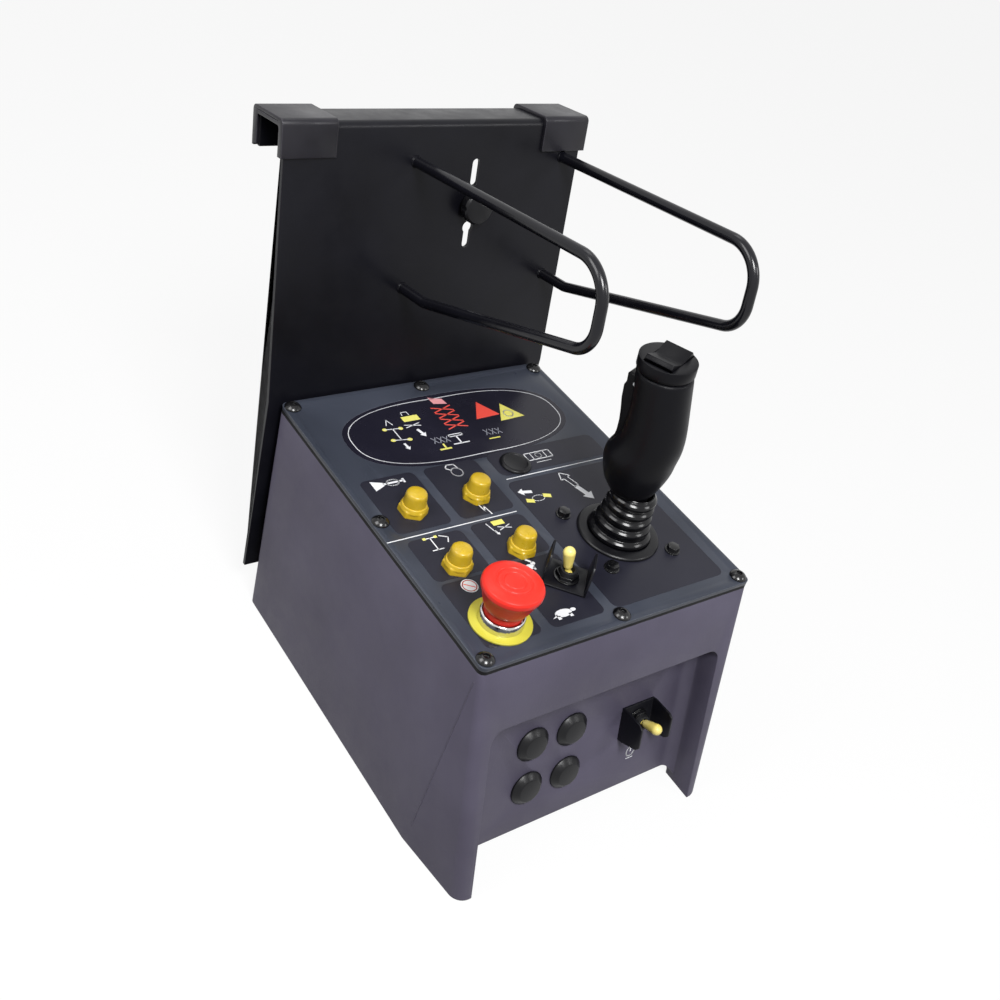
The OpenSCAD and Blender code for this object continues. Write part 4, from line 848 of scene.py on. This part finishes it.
# %% Camera
SENSOR_MM, LENS_MM = 36.0, 42.804
LOOK_TURN, LOOK_DOWN, LOOK_ROLL = 45.867, 37.381, 18.673  # degrees
camera = bpy.data.objects.new("camera", bpy.data.cameras.new("camera"))
bpy.context.scene.collection.objects.link(camera)
camera.data.sensor_width, camera.data.lens = SENSOR_MM, LENS_MM
camera.data.clip_start, camera.data.clip_end = 0.01, 50
look = Matrix.Rotation(math.radians(-LOOK_TURN), 4, "Z")
look = look @ Matrix.Rotation(math.radians(90 - LOOK_DOWN), 4, "X")
look = look @ Matrix.Rotation(math.radians(LOOK_ROLL), 4, "Z")
camera.matrix_world = Matrix.Translation((-0.4964, panel_front - 0.335, 0.6988)) @ look
bpy.context.scene.camera = camera
print("lens:", round(camera.data.lens, 1), "mm")

# %% Lamps
def lamp(name, place, aim, size, watts):
    """A soft rectangular lamp at a place, turned to the point that it aims at."""
    light = bpy.data.lights.new(name, "AREA")
    light.shape, light.size, light.size_y, light.energy = "RECTANGLE", size[0], size[1], watts
    item = bpy.data.objects.new(name, light)
    bpy.context.scene.collection.objects.link(item)
    item.location = place
    item.rotation_euler = (Vector(aim) - Vector(place)).to_track_quat("-Z", "Y").to_euler()
    print(name, watts, "W")


lamp("key_left", place=(-0.36, -0.92, 1.45), aim=(0, 0, 0.15), size=(0.5, 0.5), watts=28)
lamp("side_left", place=(-0.55, 0.06, 0.82), aim=(0, 0, 0.15), size=(0.4, 0.4), watts=3.6)
lamp("fill_right", place=(1.1, -1.2, 1.25), aim=(0, 0, 0.2), size=(0.5, 0.4), watts=6)
lamp("rim_back", place=(0.3, 1.2, 2.2), aim=(0, 0, 0.35), size=(1.2, 0.6), watts=5)

# %% Floor and world
WORLD_LIGHT, WHITE, PAPER_GLOW = 0.07, 1.0, 0.9


def backdrop_rays(tree):
    """One for the rays that see the white background: the camera's and those off gloss and glass."""
    path = add(tree, "LightPath")
    mirrored = add(tree, "Math", {0: path.outputs["Is Glossy Ray"], 1: path.outputs["Is Transmission Ray"]},
                   operation="MAXIMUM")
    return add(tree, "Math", {0: mirrored.outputs["Value"], 1: path.outputs["Is Camera Ray"]},
               operation="MAXIMUM").outputs["Value"]


world = bpy.data.worlds.new("white_room")
world.use_nodes = True
bpy.context.scene.world = world
tree = world.node_tree
tree.nodes.clear()
strength = add(tree, "MapRange", {"Value": backdrop_rays(tree)}, To_Min=WORLD_LIGHT, To_Max=WHITE)
air = add(tree, "Background", {"Strength": strength.outputs["Result"]}, Color=(1, 1, 1, 1))
tree.links.new(air.outputs["Background"], add(tree, "OutputWorld").inputs["Surface"])

bm = bmesh.new()
bmesh.ops.create_grid(bm, x_segments=2, y_segments=2, size=14)
floor = bpy.data.objects.new("floor", to_mesh(bm, "floor"))
floor.location.z = cad_box[0][2]
bpy.context.scene.collection.objects.link(floor)
material, tree, out, place = start_material("white_floor_paper")
paper = add(tree, "BsdfDiffuse", Color=(0.04, 0.04, 0.04, 1))
white = add(tree, "BsdfDiffuse", Color=(0.85, 0.85, 0.85, 1))
glow = add(tree, "Emission", Color=(1, 1, 1, 1), Strength=WHITE)
shown = add(tree, "MixShader", {1: white.outputs["BSDF"], 2: glow.outputs["Emission"]}, Fac=PAPER_GLOW)
both = add(tree, "MixShader", {0: backdrop_rays(tree), 1: paper.outputs["BSDF"],
                               2: shown.outputs["Shader"]})
tree.links.new(both.outputs["Shader"], out.inputs["Surface"])
floor.data.materials.append(material)

bpy.context.scene.view_settings.view_transform = "Standard"
